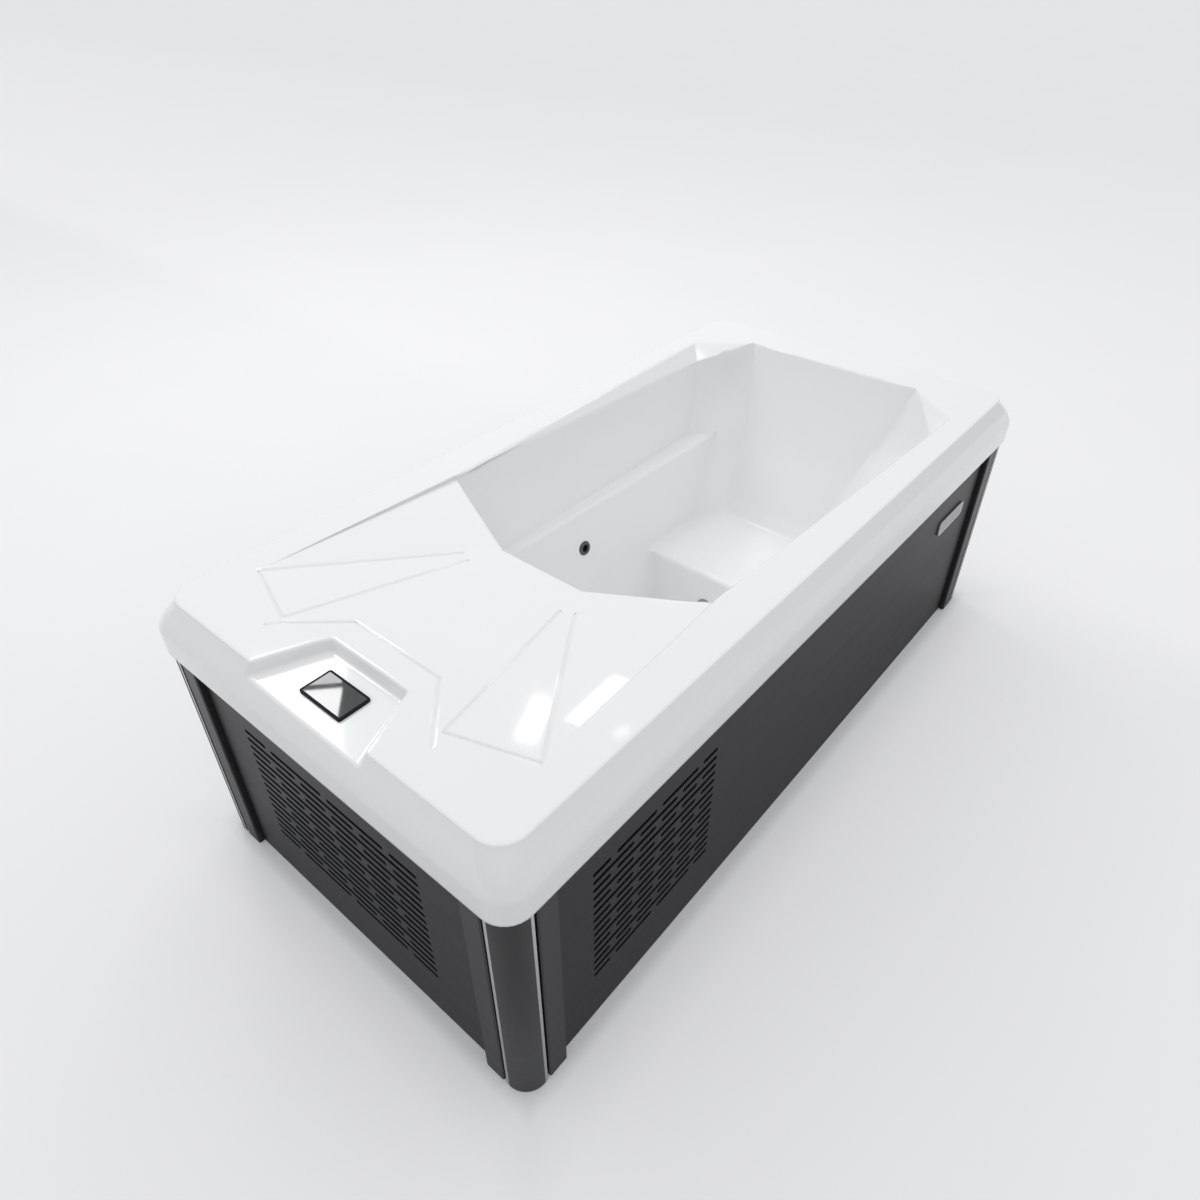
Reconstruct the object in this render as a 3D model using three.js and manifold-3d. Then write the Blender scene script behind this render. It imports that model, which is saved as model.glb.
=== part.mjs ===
// Cold plunge tub: a faceted acrylic shell on a skirted frame, with its chiller and pump under the deck.
// Millimetres, +Z up, origin on the floor under the middle. The control end is at -X, the front at -Y.

import * as THREE from 'three';
import { ConvexGeometry } from 'three/addons/geometries/ConvexGeometry.js';
import { mergeVertices } from 'three/addons/utils/BufferGeometryUtils.js';
import loadManifold from 'manifold-3d';

const manifold = await loadManifold();
manifold.setup();

// Overall sizes and the clearance kept between pieces that touch
const overallLength = 2134;
const overallWidth = 1067;
const overallHeight = 737;
const fit = 0.3;
const overcut = 5;

// Shell rim: the fascia leans out from the top edge and then hangs straight
const shellWall = 7.5;
const fasciaHeight = 132;
const fasciaLean = 35;
const fasciaLeanDrop = 79;
const fasciaCorner = 58;
const rimEdgeRound = 8;

// Deck between the control end and the basin, dished in flat facets
const deckLength = 612;
const deckEdgeHalf = 119;
const deckEdgeDrop = 45;
const deckStep = 10;
const laneStart = 118;
const laneStartHalf = 240;
const stepStart = 176;
const stepRim = 82;
const grooveWidth = 9;
const grooveDepth = 3;
const grooveStop = 90;

// Basin mouth, measured in from the rim's top edge
const endRim = 125;
const endCornerCut = 119;
const endCornerInset = 154;
const shoulderRim = 64;
const kneeSetBack = 160;
const kneeRim = 98;
const kneeDrop = 50;
const mouthSetBack = 108;
const mouthRim = 108;

// Basin levels above the floor, and how far its walls lean in
const ledgeHeight = 490;
const seatHeight = 250;
const coveRise = 40;
const floorHeight = 90;
const upperLean = 76;
const sideLean = 60;
const ledgeStartWidth = 28;
const ledgeEndWidth = 74;
const lowerLean = 43;
const footwellLean = 52;
const backrestLean = 232;
const coveDepth = 35;
const seatDepth = 330;
const seatBackHalf = 150;
const riserLean = 40;
const deckWallLean = 64;

// Control recess at the end of the deck, and its touch panel
const recessDepth = 27;
const recessLength = 138;
const recessBackHalf = 108;
const recessFrontHalf = 165;
const recessDraft = 8;
const borderGap = 70;
const touchLength = 72;
const touchWidth = 122;
const touchThickness = 5;
const touchBezel = 5;
const touchGlass = 2;
const touchBodyDepth = 28;
const touchSetBack = 64;

// Skirt: panels behind stiles, and a round cover on each corner post
const skirtBottom = 3;
const panelBottom = 6;
const skirtTuck = 35;
const lipClearance = 0.5;
const panelThickness = 6;
const stileProud = 14;
const stileWidth = 50;
const stileEdge = 3;
const coverThickness = 3;
const stripWidth = 7;
const cornerGroove = 8.2;
const postWall = 4;
const postSize = 60;
const ventRows = 15;
const ventColumns = 3;
const ventBottom = 152;
const ventHeight = 348;
const ventSlot = 10.5;
const ventGap = 17;
const endVentWidth = 551;
const frontVentWidth = 394;
const frontVentStart = 190;
const badgeLength = 164;
const badgeHeight = 46;
const badgeThickness = 6;
const badgeFromEnd = 280;
const badgeMiddle = 457;

// Frame, base pan and supports
const panHeight = 30;
const panFloor = 8;
const railWidth = 30;
const railInset = 20;
const railChamfer = 20;
const controlRailDepth = 32;
const supportHalf = 150;
const footwellSupportLength = 300;
const seatSupportLength = 150;

// Water fittings
const jetFromDeckEdge = 458;
const jetHeight = 382;
const jetFlange = 22;
const jetStem = 15;
const jetBore = 11.5;
const jetLength = 45;
const jetBall = 11.2;
const suctionFlange = 28;
const suctionStem = 20;
const suctionBore = 16;
const suctionLength = 60;
const suctionHeight = 147;
const flangeThickness = 4;

// Chiller, pump and filter under the deck
const coilGap = 39;
const coilDepth = 44;
const coilHalf = 245;
const coilTop = 500;
const coilSpine = 8;
const finThickness = 4;
const finPitch = 16;
const shroudThickness = 3.7;
const shroudRing = 27;
const fanRadius = 152;
const fanTip = 8;
const fanHeight = 270;
const hubRadius = 38;
const hubLength = 24;
const shaftRadius = 5;
const fanMotorRadius = 42;
const fanMotorLength = 80;
const bladeCount = 5;
const compressorRadius = 90;
const compressorTop = 300;
const compressorFromEnd = 292;
const compressorFromSide = 283.5;
const exchangerRadius = 68;
const exchangerTop = 430;
const wetBayFromDeckEdge = 140;
const filterSide = 20;
const filterRadius = 85;
const filterTop = 330;
const filterInletDrop = 80;
const lidThickness = 26;
const lidPlug = 20;
const lidLip = 4;
const gripHalf = 8;
const gripRise = 22;
const pumpFromSide = 233.5;
const pumpAxis = 115;
const pumpRadius = 72;
const pumpLength = 60;
const pumpMotorRadius = 58;
const pumpMotorLength = 170;
const waterPipe = 20;
const returnPipe = 16;
const copperLine = 6;
const nippleLength = 12;
const valveLength = 70;
const valveRadius = 32;
const leverLength = 95;
const boxDepth = 100;
const boxLength = 200;
const boxTop = 320;

// Places worked out from the sizes
const topHalfLength = overallLength / 2 - fasciaLean;
const topHalfWidth = overallWidth / 2 - fasciaLean;
const fasciaBottom = overallHeight - fasciaHeight;
const skirtTop = fasciaBottom + skirtTuck;
const skirtX = overallLength / 2 - shellWall - lipClearance;
const skirtY = overallWidth / 2 - shellWall - lipClearance;
const panelFace = stileProud;
const panelBack = stileProud + panelThickness;
const postFace = panelBack + fit;
const cornerRadius = fasciaCorner - shellWall + lipClearance;
const stripStart = cornerRadius + fit;
const stileStart = stripStart + stripWidth + cornerGroove;
const stileEnd = stileStart + stileWidth;
const deckEdgeX = -topHalfLength + deckLength;
const mouthX = deckEdgeX + mouthSetBack;
const endX = topHalfLength - endRim;
const mouthHalf = topHalfWidth - mouthRim;
const kneeHalf = topHalfWidth - kneeRim;
const shoulderHalf = topHalfWidth - shoulderRim;
const recessFloor = overallHeight - recessDepth;
const panTop = panFloor + fit;
const deckUnderside = overallHeight - shellWall;
const compressorSide = overallWidth / 2 - compressorFromSide;
const pumpSide = pumpFromSide - overallWidth / 2;
const filterInletZ = filterTop - filterInletDrop;

// Solid helpers

function cleaned(geometry) {
  const bare = new THREE.BufferGeometry();
  bare.setAttribute('position', geometry.getAttribute('position').clone());
  bare.setIndex(geometry.getIndex());
  const merged = mergeVertices(bare, 1e-4);
  const position = merged.getAttribute('position');
  const index = merged.getIndex();
  const corners = [new THREE.Vector3(), new THREE.Vector3(), new THREE.Vector3()];
  const kept = [];
  let volume = 0;
  for (let i = 0; i < index.count; i += 3) {
    const [a, b, c] = [index.getX(i), index.getX(i + 1), index.getX(i + 2)];
    if (a === b || b === c || c === a) continue;
    [a, b, c].forEach((vertex, k) => corners[k].fromBufferAttribute(position, vertex));
    volume += corners[0].dot(corners[1].clone().cross(corners[2]));
    kept.push(a, b, c);
  }
  merged.setIndex(volume < 0 ? kept.reverse() : kept);
  return merged;
}

function toManifold(geometry) {
  const tidy = cleaned(geometry);
  const mesh = new manifold.Mesh({
    numProp: 3,
    vertProperties: new Float32Array(tidy.getAttribute('position').array),
    triVerts: new Uint32Array(tidy.getIndex().array),
  });
  mesh.merge();
  return new manifold.Manifold(mesh);
}

function toGeometry(body) {
  const mesh = body.getMesh();
  const geometry = new THREE.BufferGeometry();
  geometry.setAttribute('position', new THREE.BufferAttribute(mesh.vertProperties, 3));
  geometry.setIndex(new THREE.BufferAttribute(mesh.triVerts, 1));
  return geometry;
}

function join(...geometries) {
  return toGeometry(manifold.Manifold.union(geometries.map(toManifold)));
}

function cut(geometry, ...tools) {
  return toGeometry(manifold.Manifold.difference([toManifold(geometry), ...tools.map(toManifold)]));
}

function box(low, high) {
  const size = [0, 1, 2].map((k) => high[k] - low[k]);
  const geometry = new THREE.BoxGeometry(...size);
  return geometry.translate(...[0, 1, 2].map((k) => (low[k] + high[k]) / 2));
}

function prism(outline, low, high, holes = []) {
  const shape = new THREE.Shape(outline);
  shape.holes = holes.map((hole) => new THREE.Path(hole));
  return new THREE.ExtrudeGeometry(shape, { depth: high - low, bevelEnabled: false }).translate(0, 0, low);
}

function revolve(profile, sides = 20) {
  const points = profile.map(([radius, height]) => new THREE.Vector2(radius, height));
  return new THREE.LatheGeometry(points, sides).rotateX(Math.PI / 2);
}

function ring(inner, outer, low, high, sides = 20) {
  return revolve([[inner, low], [outer, low], [outer, high], [inner, high], [inner, low]], sides);
}

function drum(radius, low, high, sides = 20) {
  return revolve([[0, low], [radius, low], [radius, high], [0, high]], sides);
}

function along(geometry, axis) {
  const turn = new THREE.Quaternion().setFromUnitVectors(new THREE.Vector3(0, 0, 1), axis);
  return geometry.applyQuaternion(turn);
}

function hull(points) {
  return new ConvexGeometry(points);
}

function loft(rings) {
  const count = rings[0].length;
  const index = [];
  for (let level = 0; level + 1 < rings.length; level += 1) {
    for (let k = 0; k < count; k += 1) {
      const a = level * count + k;
      const b = level * count + ((k + 1) % count);
      index.push(a, b, b + count, a, b + count, a + count);
    }
  }
  const lid = (rings.length - 1) * count;
  for (let k = 1; k + 1 < count; k += 1) {
    index.push(0, k + 1, k, lid, lid + k, lid + k + 1);
  }
  const geometry = new THREE.BufferGeometry().setFromPoints(rings.flat());
  return geometry.setIndex(index);
}

function roundedOutline(halfX, halfY, radius) {
  const shape = new THREE.Shape();
  shape.absarc(halfX - radius, halfY - radius, radius, 0, Math.PI / 2);
  shape.absarc(-halfX + radius, halfY - radius, radius, Math.PI / 2, Math.PI);
  shape.absarc(-halfX + radius, -halfY + radius, radius, Math.PI, 1.5 * Math.PI);
  shape.absarc(halfX - radius, -halfY + radius, radius, 1.5 * Math.PI, 2 * Math.PI);
  return shape.getPoints(4);
}

// A path through given points, one step to each
class Route extends THREE.Curve {
  constructor(points) {
    super();
    this.points = points;
  }

  getPoint(share, target = new THREE.Vector3()) {
    const place = share * (this.points.length - 1);
    const k = Math.min(Math.floor(place), this.points.length - 2);
    return target.lerpVectors(this.points[k], this.points[k + 1], place - k);
  }

  getUtoTmapping(share) {
    return share;
  }
}

// A pipe of straight runs with a rounded bend at each corner between its ends
function pipe(stops, radius, bend) {
  const points = stops.map((stop) => new THREE.Vector3(...stop));
  const path = [points[0]];
  for (let k = 1; k + 1 < points.length; k += 1) {
    const into = points[k].clone().sub(points[k - 1]).setLength(bend);
    const out = points[k + 1].clone().sub(points[k]).setLength(bend);
    const start = points[k].clone().sub(into);
    const end = points[k].clone().add(out);
    path.push(...new THREE.QuadraticBezierCurve3(start, points[k], end).getPoints(5));
  }
  path.push(points[points.length - 1]);
  const shape = new THREE.Shape().absarc(0, 0, radius, 0, 2 * Math.PI);
  const options = { steps: path.length - 1, curveSegments: 6, extrudePath: new Route(path) };
  return new THREE.ExtrudeGeometry(shape, options);
}

// Plan points on the +Y side, from the deck end to the seat end, made into a whole outline
function mirrored(half) {
  const near = half.map((point) => ({ ...point, y: -point.y }));
  return [...near, ...half.slice().reverse()];
}

// An outline moved outward by a distance, edge by edge
function grown(outline, distance) {
  const count = outline.length;
  return outline.map((point, k) => {
    const before = outline[(k + count - 1) % count];
    const after = outline[(k + 1) % count];
    const first = new THREE.Vector2(point.y - before.y, before.x - point.x).normalize();
    const second = new THREE.Vector2(after.y - point.y, point.x - after.x).normalize();
    const middle = first.clone().add(second);
    const reach = (2 * distance) / middle.lengthSq();
    return { ...point, x: point.x + middle.x * reach, y: point.y + middle.y * reach };
  });
}

function atLevel(outline, z) {
  return outline.map((point) => new THREE.Vector3(point.x, point.y, z));
}

function lowered(outline, drop) {
  return outline.map((point) => new THREE.Vector3(point.x, point.y, point.z - drop));
}

// Materials

function finish(color, roughness, metalness = 0) {
  return new THREE.MeshStandardMaterial({ color, roughness, metalness, flatShading: true });
}

const whiteAcrylic = finish(0xedefef, 0.12);
const charcoal = finish(0x3d3d3e, 0.5);
const satinAluminium = finish(0xb4b6b8, 0.35, 1);
const blackPlastic = finish(0x17181a, 0.45);
const blackGlass = finish(0x08090a, 0.05);
const greyPlastic = finish(0x6d7073, 0.5);
const whitePipe = finish(0xe2e2de, 0.4);
const copper = finish(0xb06a45, 0.3, 1);
const steel = finish(0x8b8f93, 0.4, 1);
const foam = finish(0xd8c9a4, 0.9);
const blackPaint = finish(0x1d1e20, 0.5);

const tub = new THREE.Group();

function piece(name, geometry, material, parent = tub) {
  const mesh = new THREE.Mesh(cleaned(geometry), material);
  mesh.name = name;
  parent.add(mesh);
  return mesh;
}

// Shell: the moulded skin is the outer form less the same form set in by the wall

function fasciaBlock(inset) {
  const bottom = inset > 0 ? fasciaBottom - overcut : fasciaBottom;
  const lean = new THREE.QuadraticBezierCurve(
    new THREE.Vector2(fasciaLean, overallHeight - fasciaLeanDrop),
    new THREE.Vector2(fasciaLean, overallHeight - fasciaLeanDrop * 0.7),
    new THREE.Vector2(0, overallHeight - rimEdgeRound),
  );
  const profile = [new THREE.Vector2(fasciaLean, bottom), ...lean.getPoints(inset > 0 ? 2 : 5)];
  if (inset === 0) {
    profile.push(new THREE.Vector2(-rimEdgeRound * 0.3, overallHeight - rimEdgeRound * 0.3));
    profile.push(new THREE.Vector2(-rimEdgeRound, overallHeight));
  } else {
    profile[profile.length - 1].y = overallHeight - inset;
  }
  return loft(profile.map(({ x, y: z }) => {
    const reach = x - inset;
    const corner = fasciaCorner - inset;
    return atLevel(roundedOutline(topHalfLength + reach, topHalfWidth + reach, corner), z);
  }));
}

// Corners of the deck's facets and of the basin's mouth, on the +Y side
const laneCorner = { x: -topHalfLength + laneStart, y: laneStartHalf, z: overallHeight };
const stepCorner = { x: -topHalfLength + stepStart, y: topHalfWidth - stepRim, z: overallHeight };
const deckCorner = { x: deckEdgeX, y: deckEdgeHalf, z: overallHeight - deckEdgeDrop };
const mouthCorner = { x: mouthX, y: mouthHalf, z: overallHeight - deckStep };
const knee = { x: endX - kneeSetBack, y: kneeHalf, z: overallHeight - kneeDrop };
const shoulder = { x: endX - endCornerCut, y: shoulderHalf, z: overallHeight };
const endCorner = { x: endX, y: shoulderHalf - endCornerInset, z: overallHeight };

function beyond(from, to, extra) {
  const start = new THREE.Vector3(from.x, from.y, from.z);
  const end = new THREE.Vector3(to.x, to.y, to.z);
  return end.add(end.clone().sub(start).setLength(extra));
}

const farLane = beyond(laneCorner, deckCorner, 30);
const farStep = beyond(stepCorner, mouthCorner, 25);

// Each facet reaches a little over its neighbours, in its own plane, so that no film is left between them
function facet(points, drop) {
  const vertices = points.map(({ x, y, z }) => new THREE.Vector3(x, y, z));
  const middle = new THREE.Vector3();
  vertices.forEach((vertex) => middle.addScaledVector(vertex, 1 / vertices.length));
  const wide = vertices.map((vertex) => beyond(middle, vertex, 2 * fit));
  return hull([...lowered(wide, drop), ...atLevel(wide, overallHeight + overcut)]);
}

function deckFacets(drop) {
  const lane = facet(mirrored([laneCorner, farLane]), drop);
  const sides = [1, -1].flatMap((side) => {
    const flip = (point) => ({ x: point.x, y: side * point.y, z: point.z });
    const inner = [laneCorner, stepCorner, farLane].map(flip);
    const outer = [stepCorner, farStep, farLane].map(flip);
    return [facet(inner, drop), facet(outer, drop)];
  });
  return [lane, ...sides];
}

function groove(from, to) {
  const run = new THREE.Vector3(to.x - from.x, to.y - from.y, 0).normalize();
  const side = new THREE.Vector3(-run.y, run.x, 0).multiplyScalar(grooveWidth / 2);
  const points = [from, to].flatMap((end) => {
    const middle = new THREE.Vector3(end.x, end.y, end.z);
    const left = middle.clone().add(side).setZ(end.z + grooveDepth / 6);
    const right = middle.clone().sub(side).setZ(end.z + grooveDepth / 6);
    return [left, right, middle.setZ(end.z - grooveDepth)];
  });
  return hull(points);
}

function shortOf(from, to, gap) {
  const start = new THREE.Vector3(from.x, from.y, from.z);
  const end = new THREE.Vector3(to.x, to.y, to.z);
  return end.sub(end.clone().sub(start).setLength(gap));
}

function deckGrooves() {
  const laneSlope = deckEdgeDrop / (deckEdgeX - laneCorner.x);
  const backX = -topHalfLength + recessLength + borderGap;
  const backZ = overallHeight - laneSlope * (backX - laneCorner.x);
  const backCorner = { x: backX, y: recessBackHalf + borderGap / 4, z: backZ };
  const bendRun = backX - laneCorner.x;
  const bend = { x: laneCorner.x, y: backCorner.y + bendRun, z: overallHeight };
  const tail = { x: bend.x - borderGap / 2, y: bend.y + borderGap / 2, z: overallHeight };
  const flipped = ({ x, y, z }) => ({ x, y: -y, z });
  const lines = [
    [laneCorner, shortOf(laneCorner, deckCorner, grooveStop)],
    [laneCorner, stepCorner],
    [stepCorner, shortOf(stepCorner, deckCorner, grooveStop)],
    [backCorner, bend],
    [bend, tail],
  ];
  const both = lines.flatMap(([a, b]) => [groove(a, b), groove(flipped(a), flipped(b))]);
  return [...both, groove(flipped(backCorner), backCorner)];
}

function controlRecess(wall) {
  const reach = recessLength + fasciaLean * 2;
  const flare = ((recessFrontHalf - recessBackHalf) / recessLength) * reach;
  const backX = -topHalfLength + recessLength;
  const half = [
    { x: backX - reach, y: recessBackHalf + flare },
    { x: backX, y: recessBackHalf },
  ];
  const low = grown(mirrored(half), wall);
  const high = grown(low, (recessDraft * (recessDepth + overcut)) / recessDepth);
  return hull([...atLevel(low, recessFloor - wall), ...atLevel(high, overallHeight + overcut)]);
}

// Basin outlines on the +Y side at each level
const taper = (kneeHalf - mouthHalf) / (knee.x - mouthX);
const ledgeEndX = endX - backrestLean * ((overallHeight - ledgeHeight) / (overallHeight - seatHeight));
const ledgeCornerX = knee.x - upperLean * 1.4;
const ledgeBackEnd = kneeHalf - sideLean;
const ledgeEndHalf = endCorner.y - upperLean;
const ledgeStartX = mouthX + upperLean;
const deckWallX = (z) => deckEdgeX + deckWallLean * ((deckCorner.z - z) / (deckCorner.z - ledgeHeight));
const ledgeFrontStart = mouthHalf - sideLean - ledgeStartWidth;
const ledgeFrontEnd = ledgeBackEnd - ledgeEndWidth;
const lowerTaper = (ledgeFrontEnd - ledgeFrontStart) / (ledgeCornerX - ledgeStartX);
const lowerWallY = (x, z) => {
  const lean = lowerLean * ((ledgeHeight - z) / (ledgeHeight - seatHeight));
  return ledgeFrontStart + lowerTaper * (x - ledgeStartX) - lean;
};
const coveX = endX - backrestLean;
const seatBackX = coveX - coveDepth;
const seatFrontX = seatBackX - seatDepth;
const seatCornerX = seatBackX - (lowerWallY(seatBackX, seatHeight) - seatBackHalf);
const footStartX = deckWallX(seatHeight) + upperLean;

const ledgeBack = [
  { x: deckWallX(ledgeHeight), y: deckEdgeHalf + upperLean / 4 },
  { x: ledgeStartX, y: mouthHalf - sideLean },
  { x: ledgeCornerX, y: ledgeBackEnd },
  { x: ledgeEndX, y: ledgeEndHalf },
];
const ledgeFront = [
  ledgeBack[0],
  { x: ledgeStartX, y: ledgeFrontStart },
  { x: ledgeCornerX + ledgeEndWidth, y: lowerWallY(ledgeCornerX + ledgeEndWidth, ledgeHeight) },
  { x: ledgeEndX, y: ledgeEndHalf },
];
const seatOutline = (z) => [
  { x: deckWallX(z), y: ledgeBack[0].y },
  { x: footStartX, y: lowerWallY(footStartX, z) },
  { x: seatCornerX, y: lowerWallY(seatCornerX, z) },
  { x: seatBackX, y: seatBackHalf },
];
const coveCorner = { x: coveX, y: seatBackHalf + coveDepth / 2 };
const footTop = [
  ...seatOutline(seatHeight).slice(0, 2),
  { x: seatFrontX, y: lowerWallY(seatFrontX, seatHeight) },
];
const footBottom = [
  { x: deckWallX(floorHeight), y: ledgeBack[0].y - footwellLean / 2 },
  { x: footStartX + footwellLean / 2, y: footTop[1].y - footwellLean },
  { x: seatFrontX - riserLean, y: footTop[2].y - footwellLean },
];

function basin(wall) {
  const top = wall > 0 ? overallHeight - wall / 2 : overallHeight + overcut;
  const outline = (half) => grown(mirrored(half), wall);
  const wallTop = outline([deckCorner, mouthCorner, knee, endCorner]);
  const bevelTop = outline([mouthCorner, shoulder, endCorner]);
  const kneePoints = wallTop.filter((point) => point.z === knee.z);
  const upper = hull([
    ...atLevel(wallTop, top),
    ...lowered(wallTop, wall),
    ...atLevel(outline(ledgeBack), ledgeHeight - wall),
  ]);
  const bevel = hull([...atLevel(bevelTop, top), ...lowered(bevelTop, wall), ...lowered(kneePoints, wall)]);
  const lower = hull([
    ...atLevel(outline(ledgeFront), ledgeHeight + overcut),
    ...atLevel(outline(ledgeFront), ledgeHeight),
    ...atLevel(outline([...seatOutline(seatHeight).slice(0, 3), coveCorner]), seatHeight + coveRise),
    ...atLevel(outline(seatOutline(seatHeight - wall)), seatHeight - wall),
  ]);
  const footwell = hull([
    ...atLevel(outline(footTop), seatHeight - wall + overcut),
    ...atLevel(outline(footTop), seatHeight - wall),
    ...atLevel(outline(footBottom), floorHeight - wall),
  ]);
  return join(upper, bevel, lower, footwell);
}

// Places of the wall fittings, each with its axis pointing into the water
const jetX = deckEdgeX + jetFromDeckEdge;
const jetPoint = new THREE.Vector3(jetX, lowerWallY(jetX, jetHeight), jetHeight);
const wallSlope = lowerLean / (ledgeHeight - seatHeight);
const jetAxis = new THREE.Vector3(lowerTaper, -1, wallSlope).normalize();
const riserShare = (suctionHeight - floorHeight) / (seatHeight - floorHeight);
const suctionPoint = new THREE.Vector3(seatFrontX - riserLean * (1 - riserShare), 0, suctionHeight);
const suctionAxis = new THREE.Vector3(-(seatHeight - floorHeight), 0, riserLean).normalize();
const touchX = -topHalfLength + touchSetBack;

function wallHole(radius, point, axis) {
  const tool = along(drum(radius, -4 * shellWall, 4 * shellWall, 24), axis);
  return tool.translate(point.x, point.y, point.z);
}

function tubShell() {
  const hollow = cut(fasciaBlock(shellWall), ...deckFacets(shellWall), controlRecess(shellWall));
  const cap = cut(fasciaBlock(0), hollow);
  const touchHole = box(
    [touchX - touchLength / 2 + 2 * touchBezel - fit, -touchWidth / 2 + 2 * touchBezel - fit, 0],
    [touchX + touchLength / 2 - 2 * touchBezel + fit, touchWidth / 2 - 2 * touchBezel + fit, overallHeight],
  );
  return cut(
    join(cap, basin(shellWall)),
    basin(0),
    ...deckFacets(0),
    controlRecess(0),
    ...deckGrooves(),
    touchHole,
    wallHole(jetStem + fit, jetPoint, jetAxis),
    wallHole(suctionStem + fit, suctionPoint, suctionAxis),
  );
}

piece('tub_shell', tubShell(), whiteAcrylic);

// Skirt: everything at a corner is drawn from the corner inward, then set at each of the four

const corners = [
  { name: 'control_front', x: -1, y: -1 },
  { name: 'control_rear', x: -1, y: 1 },
  { name: 'seat_front', x: 1, y: -1 },
  { name: 'seat_rear', x: 1, y: 1 },
];

function atCorner(corner, points) {
  return points.map(([u, v]) => new THREE.Vector2(corner.x * (skirtX - u), corner.y * (skirtY - v)));
}

function quarterRound(radius) {
  const arc = new THREE.EllipseCurve(cornerRadius, cornerRadius, radius, radius, Math.PI, 1.5 * Math.PI);
  return arc.getPoints(6).map((point) => [point.x, point.y]);
}

function cornerCover(corner) {
  const outline = [...quarterRound(cornerRadius), ...quarterRound(cornerRadius - coverThickness).reverse()];
  return prism(atCorner(corner, outline), skirtBottom, skirtTop);
}

function cornerPost(corner) {
  const stripEnd = stripStart + stripWidth;
  const far = postFace + postSize;
  const outline = [
    [postFace, postFace],
    [postFace, stripStart],
    [fit, stripStart],
    [fit, stripEnd],
    [postFace, stripEnd],
    [postFace, far],
    [far, far],
    [far, postFace],
    [stripEnd, postFace],
    [stripEnd, fit],
    [stripStart, fit],
    [stripStart, postFace],
  ];
  const near = postFace + postWall;
  const bore = [[near, near], [far - postWall, near], [far - postWall, far - postWall], [near, far - postWall]];
  return prism(atCorner(corner, outline), skirtBottom, skirtTop, [atCorner(corner, bore)]);
}

function stileOutline() {
  const back = panelFace - fit;
  return [
    [0, stileStart + stileEdge],
    [0, stileEnd - stileEdge],
    [stileEdge, stileEnd],
    [back, stileEnd],
    [back, stileStart],
    [stileEdge, stileStart],
  ];
}

for (const corner of corners) {
  const onSide = stileOutline().map(([u, v]) => [v, u]);
  piece(`corner_post_${corner.name}`, cornerPost(corner), satinAluminium);
  piece(`corner_cover_${corner.name}`, cornerCover(corner), charcoal);
  piece(`end_stile_${corner.name}`, prism(atCorner(corner, stileOutline()), skirtBottom, skirtTop), charcoal);
  piece(`side_stile_${corner.name}`, prism(atCorner(corner, onSide), skirtBottom, skirtTop), charcoal);
}

function slot(low, high, middle) {
  const radius = ventSlot / 2;
  const shape = new THREE.Path();
  shape.absarc(high - radius, middle, radius, -Math.PI / 2, Math.PI / 2);
  shape.absarc(low + radius, middle, radius, Math.PI / 2, 1.5 * Math.PI);
  return shape.getPoints(2);
}

// Rows of slots laid like bricks: whole rows between rows that start and end with a half slot
function ventSlots(start, width) {
  const pitch = (width + ventGap) / ventColumns;
  const rowStep = (ventHeight - ventSlot) / (ventRows - 1);
  const slots = [];
  for (let row = 0; row < ventRows; row += 1) {
    const middle = ventBottom + ventSlot / 2 + row * rowStep;
    const shift = row % 2 === 0 ? pitch / 2 : 0;
    for (let column = 0; column <= ventColumns; column += 1) {
      const low = Math.max(start, start + column * pitch - shift);
      const high = Math.min(start + width, start + (column + 1) * pitch - ventGap - shift);
      if (high - low > 2 * ventSlot) slots.push(slot(low, high, middle));
    }
  }
  return slots;
}

function panel(half, slots) {
  const reach = half - stileStart;
  const outline = [[-reach, panelBottom], [reach, panelBottom], [reach, skirtTop], [-reach, skirtTop]];
  return prism(outline.map(([s, z]) => new THREE.Vector2(s, z)), 0, panelThickness, slots);
}

const frontSlots = ventSlots(-topHalfLength + frontVentStart, frontVentWidth);
const frontPanel = piece('front_panel', panel(skirtX, frontSlots), charcoal);
frontPanel.rotation.x = Math.PI / 2;
frontPanel.position.y = -skirtY + panelBack;

const rearPanel = piece('rear_panel', panel(skirtX, []), charcoal);
rearPanel.rotation.x = Math.PI / 2;
rearPanel.position.y = skirtY - panelFace;

const endSlots = ventSlots(-endVentWidth / 2, endVentWidth);
const controlPanel = piece('control_end_panel', panel(skirtY, endSlots), charcoal);
controlPanel.rotation.set(Math.PI / 2, Math.PI / 2, 0);
controlPanel.position.x = -skirtX + panelFace;

const seatPanel = piece('seat_end_panel', panel(skirtY, []), charcoal);
seatPanel.rotation.set(Math.PI / 2, Math.PI / 2, 0);
seatPanel.position.x = skirtX - panelBack;

function badgePlate() {
  const halfLength = badgeLength / 2;
  const halfHeight = badgeHeight / 2;
  const outline = [
    [-halfLength, -halfHeight],
    [halfLength - halfHeight, -halfHeight],
    [halfLength, 0],
    [halfLength, halfHeight],
    [-halfLength + halfHeight, halfHeight],
    [-halfLength, 0],
  ];
  return prism(outline.map(([s, z]) => new THREE.Vector2(s, z)), 0, badgeThickness);
}

const badge = piece('badge_plate', badgePlate(), satinAluminium);
badge.rotation.x = Math.PI / 2;
badge.position.set(topHalfLength - badgeFromEnd, -skirtY + panelFace - fit, badgeMiddle);

// Frame: rails under the rim on the corner posts, and a base pan notched round the posts

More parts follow.
